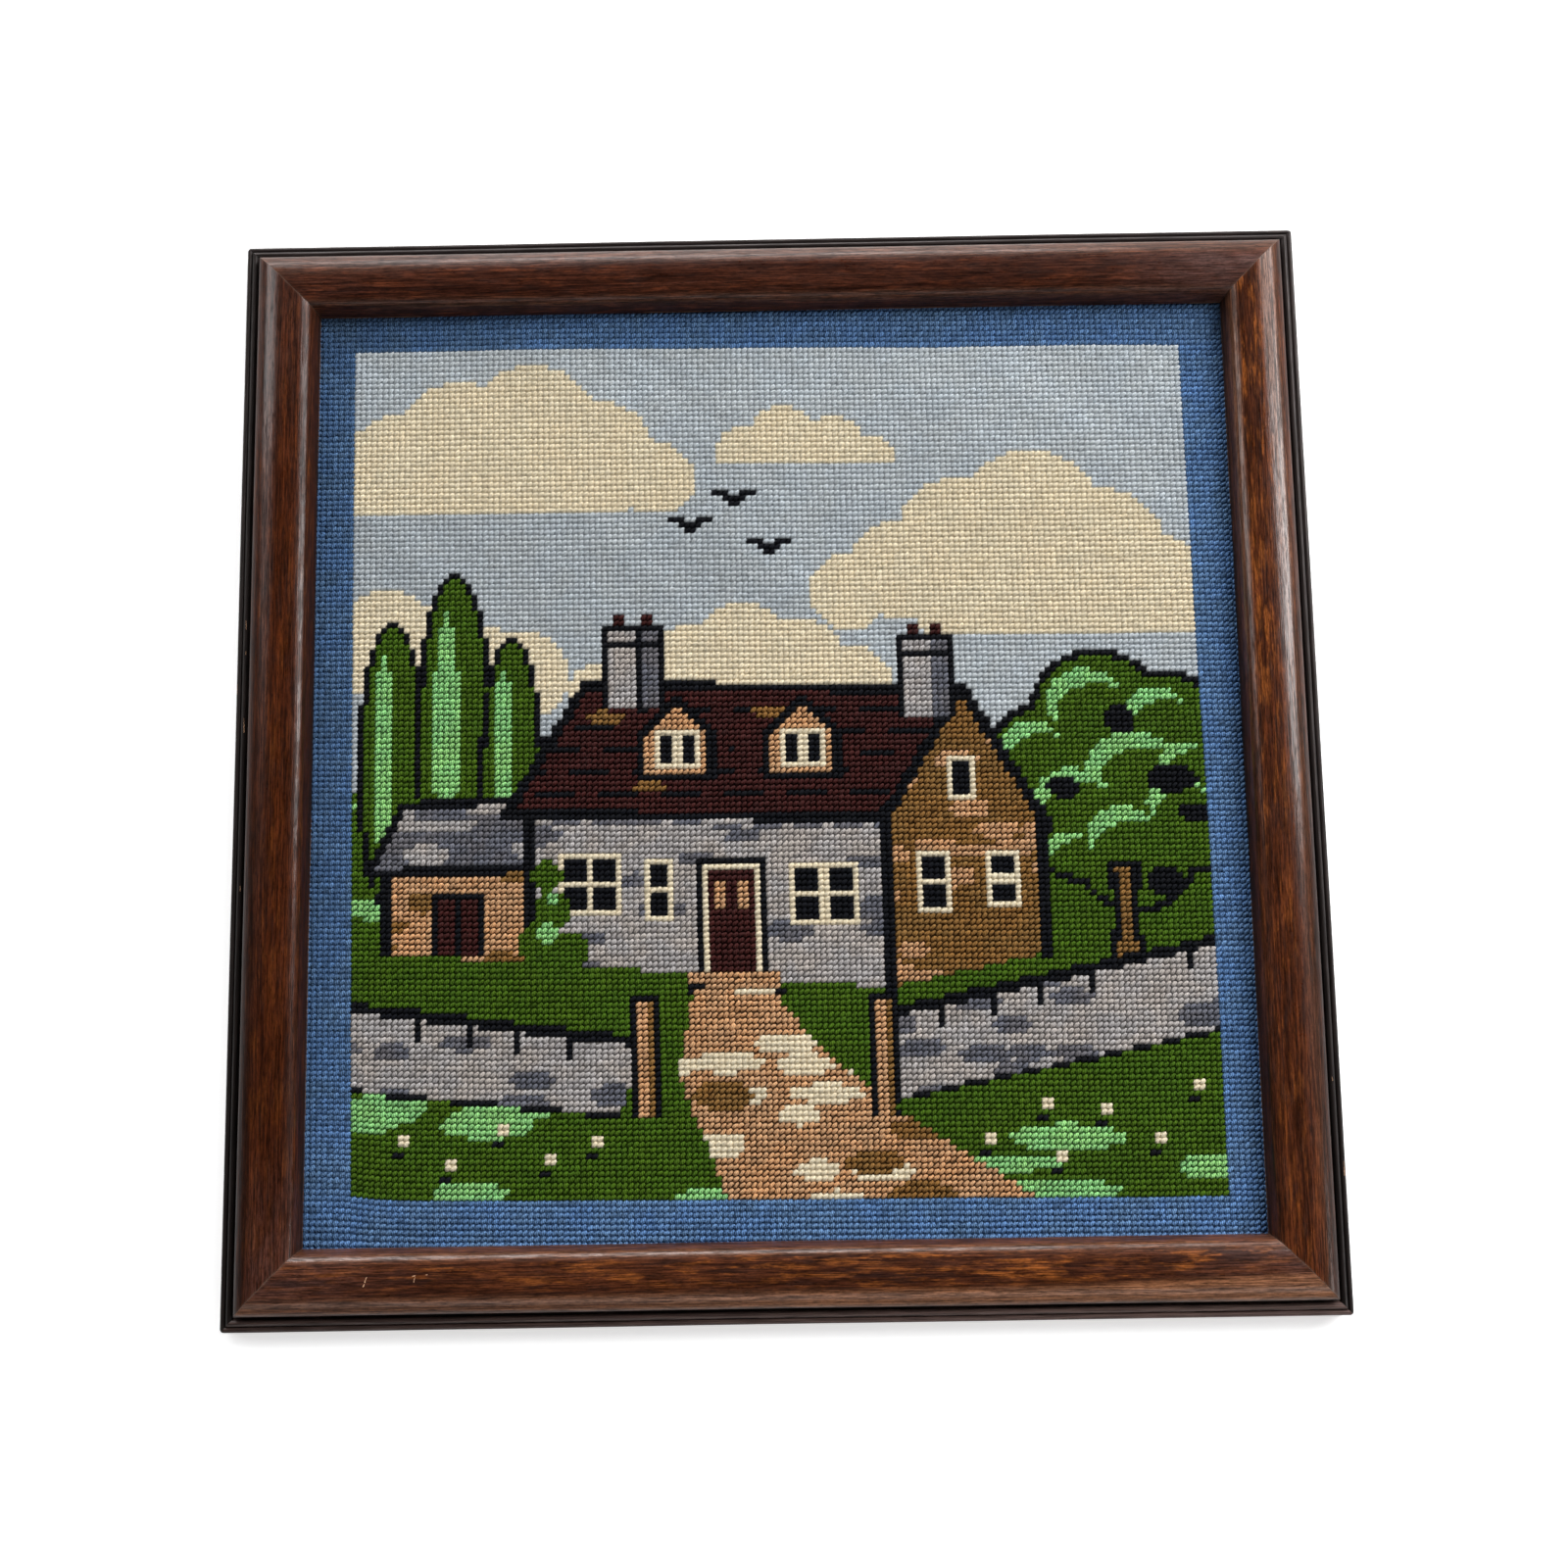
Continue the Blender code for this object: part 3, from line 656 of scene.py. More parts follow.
def canvas_holes():
    """x and y of every hole of the canvas, as it was stretched: racked a little out
    of square, its threads drifting, and its bottom left corner pulled up."""
    rng = np.random.default_rng(2024)
    i, j = np.meshgrid(np.arange(COLS + 1.0), np.arange(ROWS + 1.0), indexing="ij")
    X, Y = (i - COLS / 2) * COL_PITCH, (j - ROWS / 2) * ROW_PITCH
    x = X - (0.0116 + 0.0017 * X / 165) * Y
    y = Y - (0.0095 - 0.0011 * Y / 165) * X
    for size, amp in ((150, 0.30), (66, 0.20), (31, 0.10)):
        a = rng.uniform(0, 6.28, 4)
        x = x + amp * np.sin(Y / size * 2 + a[0]) * np.cos(X / size + a[1])
        y = y + amp * np.sin(X / size * 2 + a[2]) * np.cos(Y / size + a[3])
    col, row = rng.uniform(0, 6.28, (COLS + 1, 2)), rng.uniform(0, 6.28, (ROWS + 1, 2))
    x = x + 0.055 * np.sin(Y / 17 + col[:, :1]) + 0.035 * np.sin(Y / 6.3 + col[:, 1:])
    y = y + 0.070 * np.sin(X / 19 + row[:, 0]) + 0.045 * np.sin(X / 7.1 + row[:, 1])
    left = np.where(X > -160, np.exp(-np.maximum(X + 160, 0) / 8.5), 1 + 0.25 * (1 - np.exp((X + 160) / 8)))
    low = np.clip((-Y - 96) / 58, 0, 1)
    y = y + 1.9 * left * low * low * (3 - 2 * low)
    # There the lowest rows are spread, to stay held behind the frame's edge.
    short = np.maximum(y[:, :1] + 178.2, 0)
    y = y - short * np.clip(1 - j / PIC_ROW, 0, 1) ** 2
    return x, y


# ---------------------------------------------------------------- the chart
# A plain country scene, charted here in stitches from shapes: u counts columns
# from the picture's left, v counts rows from its bottom.
U, V = np.meshgrid(np.arange(PIC_W) + 0.5, np.arange(PIC_H) + 0.5)
PICTURE = np.full((PIC_H, PIC_W), SKY)


def polygon(*pts):
    inside = np.zeros(U.shape, bool)
    for (x0, y0), (x1, y1) in zip(pts, pts[1:] + pts[:1]):
        if y0 != y1:
            inside ^= ((y0 > V) != (y1 > V)) & (U < (x1 - x0) * (V - y0) / (y1 - y0) + x0)
    return inside


def disc(cx, cy, rx, ry=None):
    return ((U - cx) / rx) ** 2 + ((V - cy) / (ry or rx)) ** 2 < 1


def discs(table):
    m = np.zeros(U.shape, bool)
    for row in table:
        m |= disc(*row)
    return m


def block(u0, v0, u1, v1):
    return (U > u0) & (U < u1) & (V > v0) & (V < v1)


def stroke(width, *pts):
    m = np.zeros(U.shape, bool)
    for (x0, y0), (x1, y1) in zip(pts, pts[1:]):
        dx, dy = x1 - x0, y1 - y0
        t = np.clip(((U - x0) * dx + (V - y0) * dy) / max(dx * dx + dy * dy, 1e-9), 0, 1)
        m |= np.hypot(U - x0 - t * dx, V - y0 - t * dy) < width / 2
    return m


def below(*pts):
    xs, ys = zip(*pts)
    return V < np.interp(U, xs, ys)


def stones(mask, long, tall, share, seed):
    """Oval patches in courses over part of a shape, as in stone, tiles or turf."""
    rng = np.random.default_rng(seed)
    out = np.zeros(U.shape, bool)
    for r, v in enumerate(np.arange(0, PIC_H + tall, tall)):
        for u in np.arange(-(r % 2) * long / 2, PIC_W + long, long):
            du, dv = rng.normal(), rng.normal()
            su, sv, pick = rng.uniform(0.30, 0.58), rng.uniform(0.28, 0.52), rng.random()
            if pick < share:
                out |= disc(u + du * long / 6, v + dv * tall / 6, long * su, tall * sv)
    return out & mask


def sew(mask, colour):
    PICTURE[mask] = colour


def window(u0, v0, u1, v1, bars):
    """Cream frame with dark panes, bars[0] upright bars and bars[1] across."""
    sew(block(u0, v0, u1, v1), CREAM)
    nu, nv = bars[0] + 1, bars[1] + 1
    wu, wv = (u1 - u0 - 1 - nu) / nu, (v1 - v0 - 1 - nv) / nv
    for a in range(nu):
        for b in range(nv):
            x, y = u0 + 1 + a * (wu + 1), v0 + 1 + b * (wv + 1)
            sew(block(x, y, x + wu, y + wv), NAVY)


CLOUD_RIGHT = (
    (88, 107, 7), (97, 111, 9), (108, 117, 11), (121, 120, 13), (133, 114, 12),
    (143, 108, 9), (112, 106, 13), (126, 106, 13), (140, 104, 9), (149, 103, 8),
)
CLOUD_LEFT = (
    (-2, 129, 9), (8, 132, 9), (19, 136, 11), (32, 138, 12), (44, 133, 10),
    (54, 128, 7), (26, 127, 13), (40, 126, 10), (12, 126, 9),
)
CLOUD_LOW = (
    (-3, 96, 8), (6, 99, 9), (16, 97, 8), (60, 93, 8), (69, 96, 9), (79, 94, 8),
    (52, 90, 7), (88, 90, 7), (43, 89, 5), (30, 92, 8), (23, 94, 7),
)
CROWN = (
    (128, 66, 11), (139, 72, 12), (121, 76, 9), (131, 84, 11), (143, 82, 9),
    (136, 60, 10), (146, 66, 9),
)


def draw_sky_and_hills():
    sew(discs(CLOUD_RIGHT) & (V > 98.5), CREAM)
    sew(discs(CLOUD_LEFT) & (V > 121.5), CREAM)
    sew(discs(CLOUD_LOW), CREAM)
    sew(discs(((70, 133, 5), (77, 136, 6), (86, 134, 6), (93, 132, 4))) & (V > 130.5), CREAM)
    hill = below((0, 71), (14, 76), (30, 74), (52, 67), (76, 62), (98, 65), (122, 72), (138, 71), (149, 67))
    sew(hill, LGREEN)
    sew(stones(hill & (V > 50), 26, 8, 0.45, 3), GREEN)
    sew(below((0, 63), (20, 67), (44, 63), (70, 57), (96, 59), (128, 64), (149, 61)), GREEN)
    field = below((0, 61), (20, 65), (44, 61), (70, 56), (96, 57), (128, 62), (149, 59)) & (V > 44)
    sew(stones(field, 30, 7, 0.30, 5), LGREEN)
    sew(below((0, 46), (30, 44), (70, 40), (110, 46), (149, 49)), GREEN)


def draw_trees():
    for cu, top, w in ((7, 101, 5.0), (18, 110, 5.8), (28, 98, 4.6)):
        mid, half = (top + 50) / 2, (top - 50) / 2
        sew(disc(cu, mid, w + 1.1, half + 1.2), NAVY)
        sew(disc(cu, mid, w, half), GREEN)
        sew(disc(cu - 1.5, mid + 2, w * 0.40, half * 0.72), LGREEN)
    sew(discs([(u, v, r + 1.3) for u, v, r in CROWN]), NAVY)
    sew(discs(CROWN), GREEN)
    for u, v, r in CROWN + ((126, 58, 7), (147, 74, 7), (134, 73, 7)):
        lit = disc(u - 0.22 * r, v + 0.26 * r, 0.62 * r, 0.52 * r)
        sew(lit & ~disc(u + 0.02 * r, v + 0.02 * r, 0.70 * r, 0.50 * r), LGREEN)
    sew(stones(discs(CROWN), 9, 6, 0.16, 91), NAVY)
    sew(polygon((130, 38), (138, 38), (136, 48), (137, 58), (131, 58), (132, 48)), NAVY)
    sew(polygon((131.5, 38), (136.5, 38), (134.8, 48), (135.4, 57), (132.4, 57), (133.2, 48)), BROWN)


def draw_barn():
    wall = polygon((6, 42), (32, 41), (32, 58), (6, 57))
    sew(wall, TAN)
    sew(stones(wall, 8, 4, 0.5, 11), BROWN)
    roof = polygon((3, 56.5), (33, 57.5), (33, 70), (9, 68))
    sew(roof, MGREY)
    sew(stones(roof, 9, 4, 0.4, 12), LGREY)
    sew(stroke(1.6, (3, 56.5), (33, 57.5)) | stroke(1.6, (3, 56.5), (9, 68.5), (33, 70)), NAVY)
    sew(block(14, 42, 23, 53), NAVY)
    sew(block(15, 42, 18, 52) | block(19, 42, 22, 52), MAROON)
    sew(stroke(1.3, (6, 42), (6, 56)), NAVY)


def draw_farmhouse():
    front = polygon((31, 41), (93, 36), (93, 67), (31, 68))
    sew(front, LGREY)
    sew(stones(front, 9, 4.2, 0.36, 21), MGREY)
    gable = polygon((93, 36), (120, 42), (120, 65), (107, 88), (93, 67))
    sew(gable, BROWN)
    sew(stones(gable, 8, 4.0, 0.42, 22), TAN)
    roof = polygon((27, 67), (93.5, 66), (107.5, 89), (41, 90))
    sew(roof, MAROON)
    for k in range(1, 6):
        v, a = 67 + k * 3.8, k * 3.8 / 23
        course = stroke(0.8, (27 + 14 * a, v), (93.5 + 14 * a, v - 0.6))
        sew(course & roof & ((U + 5 * k) % 11 > 4), NAVY)
    sew(stones(roof, 7, 3.4, 0.10, 31) & (V < 86), BROWN)
    sew(stroke(1.7, (27, 67), (93, 66)) | stroke(1.7, (27, 67), (41, 90), (107, 89)), NAVY)
    sew(stroke(1.9, (93, 66), (107, 89.5), (121.5, 64)), NAVY)
    sew(stroke(1.5, (93, 36), (93, 67)) | stroke(1.5, (120, 42), (120, 65)) | stroke(1.4, (31, 41), (31, 67)), NAVY)
    for u0, v0, u1, v1 in ((45, 86, 54, 100), (97, 84, 105, 98)):
        mid = (u0 + u1) / 2 + 1
        sew(block(u0 - 1, v0, u1 + 1, v1 + 1), NAVY)
        sew(block(u0, v0, mid, v1), LGREY)
        sew(block(mid, v0, u1, v1), MGREY)
        sew(block(u0 - 1, v1 - 3, u1 + 1, v1 - 2), NAVY)
        sew(block(u0 + 1, v1 + 1, u0 + 3, v1 + 3) | block(u1 - 3, v1 + 1, u1 - 1, v1 + 3), MAROON)
    for u0 in (52, 74):
        sew(polygon((u0 - 2, 73), (u0 + 12, 73), (u0 + 12, 82), (u0 + 5, 88), (u0 - 2, 82)), NAVY)
        sew(polygon((u0 - 0.5, 74), (u0 + 10.5, 74), (u0 + 10.5, 81), (u0 + 5, 86), (u0 - 0.5, 81)), TAN)
        window(u0 + 1, 75, u0 + 9, 82, (1, 0))
    window(36, 49, 47, 60, (1, 1))
    window(50.5, 48, 56.5, 59, (0, 1))
    window(76, 46.5, 88, 58.5, (1, 1))
    sew(block(60, 38, 72, 59), NAVY)
    sew(block(61, 38.5, 71, 58), CREAM)
    sew(block(62, 38.5, 70, 57), MAROON)
    sew(block(65.5, 39, 66.5, 56), NAVY)
    sew(block(63, 50, 65, 55) | block(67, 50, 69, 55), TAN)
    sew(block(58, 36, 74, 39), TAN)
    sew(stroke(1.2, (58, 36), (74, 35.5)), NAVY)
    window(98, 49, 104, 60, (0, 1))
    window(110, 50, 116, 60, (0, 1))
    window(104, 69, 109, 77, (0, 0))
    sew(discs(((33, 44, 4), (35, 50, 3), (34, 56, 2.6), (38, 43, 3))), GREEN)
    sew(discs(((34, 46, 1.8), (35, 52, 1.4))), LGREEN)
    sew(stroke(1.0, (33, 65.5), (92, 64.5)) & ((U % 7) < 5), MGREY)


def draw_foreground():
    lane = polygon((59, 36), (73, 35.5), (80, 26), (98, 12), (118, -1), (64, -1), (60, 10), (56, 22))
    sew(lane, TAN)
    sew(stones(lane, 12, 4.5, 0.28, 51), CREAM)
    sew(stones(lane, 14, 6, 0.18, 52), BROWN)
    for ends, seed in ((((92, 16), (149, 28), (149, 44), (90, 31)), 61), (((0, 18), (46, 14), (50, 27), (0, 33)), 71)):
        wall = polygon(*ends)
        sew(wall, LGREY)
        sew(stones(wall, 9, 4.2, 0.50, seed), MGREY)
        (ax, ay), (bx, by), (cx, cy), (dx, dy) = ends
        sew(stroke(1.8, (dx, dy), (cx, cy)) | stroke(1.3, (ax, ay), (bx, by)), NAVY)
        for k in range(7):
            u = min(cx, dx) + 3 + k * 8.6
            if u < max(cx, dx) - 2:
                v = np.interp(u, sorted((cx, dx)), (dy, cy) if dx < cx else (cy, dy))
                sew(stroke(1.0, (u, v), (u, v - 4)), NAVY)
    for u0 in (47.5, 88.5):
        sew(block(u0, 14, u0 + 6, 35), NAVY)
        sew(block(u0 + 1, 14, u0 + 5, 34), TAN)
        sew(block(u0 + 3.5, 14, u0 + 5, 34), BROWN)
    grass = polygon((0, 18), (46, 14), (60, 12), (64, -1), (0, -1)) | polygon((92, 16), (149, 28), (149, -1), (118, -1), (98, 12))
    sew(grass, GREEN)
    sew(stones(grass & (V < 24), 20, 5.5, 0.30, 81), LGREEN)
    for u, v in ((8, 9), (16, 5), (25, 11), (33, 6), (41, 9), (108, 9), (120, 6), (128, 14), (137, 9), (144, 18), (118, 15)):
        sew(block(u, v, u + 2, v + 2), CREAM)
        sew(block(u - 1, v - 2, u + 1, v - 1), NAVY)
    for u, v in ((60, 118), (68, 123), (74, 114)):
        sew(stroke(1.1, (u - 4, v + 2), (u - 1.5, v + 2.6), (u, v), (u + 1.5, v + 2.6), (u + 4, v + 2)), NAVY)


def chart():
    """Wool of each stitch, indexed [column, row]."""
    draw_sky_and_hills()
    draw_trees()
    draw_barn()
    draw_farmhouse()
    draw_foreground()
    whole = np.full((ROWS, COLS), BLUE)
    whole[PIC_ROW : PIC_ROW + PIC_H, PIC_COL : PIC_COL + PIC_W] = PICTURE
    return whole.T


# ---------------------------------------------------------------- the stitches
RING_AT = (0.08, 0.33, 0.67, 0.92)        # along the stitch
RING_WIDE = (0.66, 1.00, 1.00, 0.66)
RING_HIGH = (0.66, 0.98, 1.00, 0.74)
RING_ACROSS = (-1.0, -0.56, 0.56, 1.0)    # from edge to edge of the flattened yarn
RING_UP = (0.0, 0.95, 0.95, 0.0)


def smooth_rows(rng, shape, passes=3):
    a = rng.normal(size=shape)
    for _ in range(passes):
        a = (np.roll(a, 1, 0) + a + np.roll(a, -1, 0)) / 3
    return a / a.std()


def stitch_tones(wool):
    """How light each stitch is, about 1: yarn lengths, single stitches, soft bands, and painted light and shade over
    the sky and the border.
    """
    rng = np.random.default_rng(77)
    i, j = np.meshgrid(np.arange(COLS), np.arange(ROWS), indexing="ij")
    # One length of yarn works some thirty stitches along a row, then the next.
    start = rng.integers(0, 40, ROWS)
    length = rng.integers(24, 44, ROWS)
    which = (i + start[j]) // length[j]
    per_yarn = rng.normal(size=(ROWS, COLS // 20 + 4))[j, which]
    bands = smooth_rows(rng, COLS + ROWS + 2, 5)[i + j]
    slow = smooth_rows(rng, COLS + 2, 30)[i] * 0.5 + smooth_rows(rng, ROWS + 2, 30)[j] * 0.5
    single = rng.normal(size=wool.shape)
    uneven = np.array([w[12] for w in WOOLS])[wool]
    tone = 1 + np.minimum(0.45 * uneven, 0.045) * per_yarn + uneven * single + 0.018 * slow
    tone += np.where(wool == SKY, 0.034, 0.012) * bands
    # The sky is painted darker towards the left and lighter towards the top, as painted light and shade.
    shifted_tone = 1.02 - 0.15 * np.clip(1 - i / 110, 0, 1) + 0.16 * np.clip(1 - (PIC_ROW + PIC_H - 1 - j) / 20, 0, 1)
    tone *= np.where(wool == SKY, shifted_tone, 1)
    # The border is painted darker at the left and along the top towards the left, as painted shade.
    left = np.clip(1 - i / 45, 0, 1) * np.clip(j / 60, 0.25, 1)
    top = np.clip(1 - (ROWS - 1 - j) / 14, 0, 1) * (0.20 + 0.80 * np.clip(1 - i / 120, 0, 1))
    tone *= np.where(wool == BLUE, 1 - 0.36 * np.clip(left + top, 0, 1.4), 1)
    return np.clip(tone, 0.45, 1.5)


def stitch_mesh(name, cols, rows, holes, tones, lean, long, wide, high, seed):
    """Joined tent stitches, each a plump length of yarn from hole to hole."""
    rng = np.random.default_rng(seed)
    hx, hy = holes
    n = len(cols)
    ax, ay = hx[cols, rows], hy[cols, rows]
    bx, by = hx[cols + 1, rows + 1], hy[cols + 1, rows + 1]
    cx = (ax + bx) / 2 + rng.normal(0, 0.060, n)
    cy = (ay + by) / 2 + rng.normal(0, 0.060, n)
    turn = np.arctan2(by - ay, bx - ax) - math.atan2(ROW_PITCH, COL_PITCH)
    angle = np.radians(lean + rng.normal(0, 7.0, n)) + turn
    size = long * (1 + rng.normal(0, 0.055, n))
    half = wide / 2 * (1 + rng.normal(0, 0.085, n))
    top = high * (1 + rng.normal(0, 0.055, n))
    dx, dy = np.cos(angle), np.sin(angle)
    base = SHEET_TOP - high + swell(cx, cy)
    aside = rng.normal(0, 0.080, (4, n))
    wider = 1 + rng.normal(0, 0.100, (4, n))
    taller = 1 + rng.normal(0, 0.050, (4, n))

    verts = np.empty((n, 18, 3))
    for slot_, (px, py) in ((0, (ax, ay)), (17, (bx, by))):
        verts[:, slot_, 0] = px * 0.82 + cx * 0.18
        verts[:, slot_, 1] = py * 0.82 + cy * 0.18
        verts[:, slot_, 2] = base - 0.30
    # The yarn leaves its hole steeply and lies over flatter, in a slight S.
    sx, sy = (bx - ax) / 2, (by - ay) / 2
    for k, (t, w, h) in enumerate(zip(RING_AT, RING_WIDE, RING_HIGH)):
        along = (t - 0.5) * size
        pull = (t - 0.5) * 2
        mx = cx + dx * along * 0.80 + sx * pull * 0.20 * 1.25 - dy * aside[k]
        my = cy + dy * along * 0.80 + sy * pull * 0.20 * 1.25 + dx * aside[k]
        dip = 0.16 if k in (0, 3) else 0.0
        for q, (across, up) in enumerate(zip(RING_ACROSS, RING_UP)):
            reach = half * w * wider[k] * across
            verts[:, 1 + 4 * k + q, 0] = mx - dy * reach
            verts[:, 1 + 4 * k + q, 1] = my + dx * reach
            verts[:, 1 + 4 * k + q, 2] = base - 0.12 - dip + (top * h * taller[k] + 0.12) * up

    ring = [[1 + 4 * k + q for q in range(4)] for k in range(4)]
    faces = [(0, ring[0][q], ring[0][q + 1]) for q in range(3)]
    faces += [(ring[k][q], ring[k + 1][q], ring[k + 1][q + 1], ring[k][q + 1]) for k in range(3) for q in range(3)]
    faces += [(17, ring[3][q + 1], ring[3][q]) for q in range(3)]
    one = np.array([v for f in faces for v in f])
    sizes = np.array([len(f) for f in faces])
    corners = (one[None, :] + 18 * np.arange(n)[:, None]).ravel()
    starts = (np.concatenate([[0], np.cumsum(sizes)[:-1]])[None, :] + len(one) * np.arange(n)[:, None]).ravel()
    flat = verts.reshape(-1, 3)
    obj = mesh_object(name, flat, corners, starts)
    point_values(obj, "tone", np.repeat(tones, 18))
    # Yarn coordinates in mm: along it, and round it, each stitch elsewhere.
    along = np.array([0.0] + [t for t in RING_AT for _ in range(4)] + [1.0])
    around = np.array([0.5] + [(a + 1) / 2 for _ in RING_AT for a in RING_ACROSS] + [0.5])
    yu = along[None, :] * size[:, None] + rng.uniform(0, 400, (n, 1))
    yv = around[None, :] * 2.4 + rng.uniform(0, 400, (n, 1))
    uv_layer(obj, "yarn", np.stack([yu.ravel()[corners], yv.ravel()[corners]], -1))
    uv_layer(obj, "OFBake", into_unit(flat[:, :2])[corners])
    return obj


def wool_material(name, rgb, gloss, twist, plies, hue):
    s = Shader("wool_" + name)
    yarn = s.uv("yarn")
    along, around, _ = s.split(yarn)
    # Two plies twist round each other, so they cross the stitch at a slant, with
    # loose fibres on them.
    stray = s.noise(s.vec("MULTIPLY", yarn, (0.9, 0.9, 1.0)), 2, 0.5)
    cos, sin = math.cos(math.radians(twist)), math.sin(math.radians(twist))
    slant = s.math("SUBTRACT", s.math("MULTIPLY", along, sin), s.math("MULTIPLY", around, 0.63 * cos))
    slant = s.math("ADD", slant, s.math("MULTIPLY", stray, 0.45))
    ply = s.math("SINE", s.math("MULTIPLY", slant, 2 * math.pi / (0.52 + 0.18 * sin)))
    fibre = s.noise(s.join(s.math("MULTIPLY", along, 1.5), s.math("MULTIPLY", slant, 12.0), 0.0), 3, 0.65)
    tuft = s.noise(s.vec("MULTIPLY", yarn, (1.3, 1.9, 1.0)), 2, 0.5)
    rough = 0.08 + 0.28 * min(plies, 0.43)
    light = s.math("MULTIPLY", s.attribute("tone"), s.span(fibre, 0.28, 0.72, 1 - rough, 1 + rough, smooth=False))
    light = s.math("MULTIPLY", light, s.span(tuft, 0.3, 0.7, 1 - 0.7 * rough, 1 + 0.7 * rough, smooth=False))
    # The plies are painted darker in their grooves and lighter on their crowns, as painted shade and highlight.
    light = s.math("MULTIPLY", light, s.span(ply, -1.0, 0.6, 1.0 - 0.62 * plies, 1.0 + 0.22 * plies))
    # Slightly cooler or warmer from yarn to yarn.
    r, g, b = rgb
    cool = (r * (1 - 0.9 * hue), g, b * (1 + 1.1 * hue))
    warm = (r * (1 + 1.1 * hue), g, b * (1 - 1.5 * hue))
    shade = s.noise(s.vec("SCALE", s.place(), 90.0), 2, 0.6)
    colour = s.times(s.mix(s.span(shade, 0.35, 0.65), cool, warm), light)
    relief = s.math("ADD", s.math("MULTIPLY", ply, 0.30 + 0.6 * plies), s.math("MULTIPLY", fibre, 1.0))
    s.put(
        Base_Color=colour,
        Roughness=s.span(fibre, 0.3, 0.7, 0.92 - 0.8 * gloss, 0.76 - 0.8 * gloss),
        Sheen_Weight=0.05,
        Sheen_Roughness=0.45,
        Sheen_Tint=tuple(min(1.0, 0.35 + 1.1 * c) for c in rgb),
        Normal=s.bump(relief, 0.13, 0.9),
    )
    s.bsdf.inputs["Specular IOR Level"].default_value = gloss
    return s.mat


# ---------------------------------------------------------------- the canvas
def ground_mesh(holes, wool):
    """The canvas under the stitches, with the reverse of the work on its back."""
    hx, hy = holes
    x, y = np.clip(hx, -SHEET_HALF_W, SHEET_HALF_W), np.clip(hy, -SHEET_HALF_H, SHEET_HALF_H)
    lift = swell(x, y)
    nc, nr = COLS + 1, ROWS + 1
    # It stands higher below the flatter wools.
    foot = np.pad(SHEET_TOP - 0.03 - np.array([w[7] for w in WOOLS])[wool], 1, mode="edge")
    foot = (foot[:-1, :-1] + foot[1:, :-1] + foot[:-1, 1:] + foot[1:, 1:]) / 4
    front = np.stack([x, y, np.maximum(foot, GROUND_TOP) + lift], -1).reshape(-1, 3)
    back = np.stack([x, y, GROUND_BACK + lift], -1).reshape(-1, 3)
    verts = np.concatenate([front, back])
    ids = np.arange(nc * nr).reshape(nc, nr)
    a, b, c, d = ids[:-1, :-1], ids[1:, :-1], ids[1:, 1:], ids[:-1, 1:]
    top = np.stack([a, b, c, d], -1).reshape(-1, 4)
    under = np.stack([a, d, c, b], -1).reshape(-1, 4) + nc * nr
    rim = []
    for edge, cols, rows in (
        (np.stack([ids[:-1, 0], ids[1:, 0]], -1), np.arange(COLS), np.zeros(COLS, int)),
        (np.stack([ids[1:, -1], ids[:-1, -1]], -1), np.arange(COLS), np.full(COLS, ROWS - 1)),
        (np.stack([ids[0, 1:], ids[0, :-1]], -1), np.zeros(ROWS, int), np.arange(ROWS)),
        (np.stack([ids[-1, :-1], ids[-1, 1:]], -1), np.full(ROWS, COLS - 1), np.arange(ROWS)),
    ):
        quad = np.stack([edge[:, 0] + nc * nr, edge[:, 1] + nc * nr, edge[:, 1], edge[:, 0]], -1)
        rim.append((quad, wool[cols, rows]))
    quads = np.concatenate([top, under] + [q for q, _ in rim])
    each = np.concatenate([wool.reshape(-1), wool.reshape(-1)] + [w for _, w in rim])
    obj = mesh_object("needlepoint_canvas", verts, quads.ravel(), np.arange(len(quads)) * 4)
    # Each face takes its wool's colour and how dark the canvas below it is painted as shade.
    colours = np.array([w[1:4] for w in WOOLS])[each]
    rgba = np.concatenate([colours, np.array([w[11] for w in WOOLS])[each][:, None]], 1)
    layer = obj.data.attributes.new("wool", "FLOAT_COLOR", "CORNER")
    layer.data.foreach_set("color", np.repeat(rgba, 4, axis=0).astype(np.float32).ravel())
    kind = np.concatenate([np.zeros(len(top)), np.ones(len(quads) - len(top))]).astype(np.int32)
    obj.data.polygons.foreach_set("material_index", kind)
    # Weave coordinates count stitches; the bake layout gives the back most room.
    i, j = np.meshgrid(np.arange(nc), np.arange(nr), indexing="ij")
    count = np.tile(np.stack([i, j], -1).reshape(-1, 2), (2, 1)).astype(float)
    flat = quads.ravel()
    uv_layer(obj, "weave", count[flat])
    unit = into_unit(verts[:, :2])
    bake = unit[flat]
    of_back = np.repeat(kind, 4).astype(bool)
    on_rim = np.repeat(np.arange(len(quads)) >= len(top) + len(under), 4)
    bake[:, 0] = np.where(of_back, 0.305 + 0.680 * bake[:, 0], 0.003 + 0.294 * bake[:, 0])
    walls = np.flatnonzero(on_rim)
    which = np.repeat(np.arange(len(walls) // 4), 4) / (len(walls) / 4)
    side = np.tile([0.0, 0.0, 1.0, 1.0], len(walls) // 4)
    step = np.tile([0.0, 1.0, 1.0, 0.0], len(walls) // 4) / (len(walls) / 4)
    bake[walls, 0] = 0.988 + 0.010 * side
    bake[walls, 1] = 0.002 + 0.996 * (which + step)
    uv_layer(obj, "OFBake", bake)
    return obj


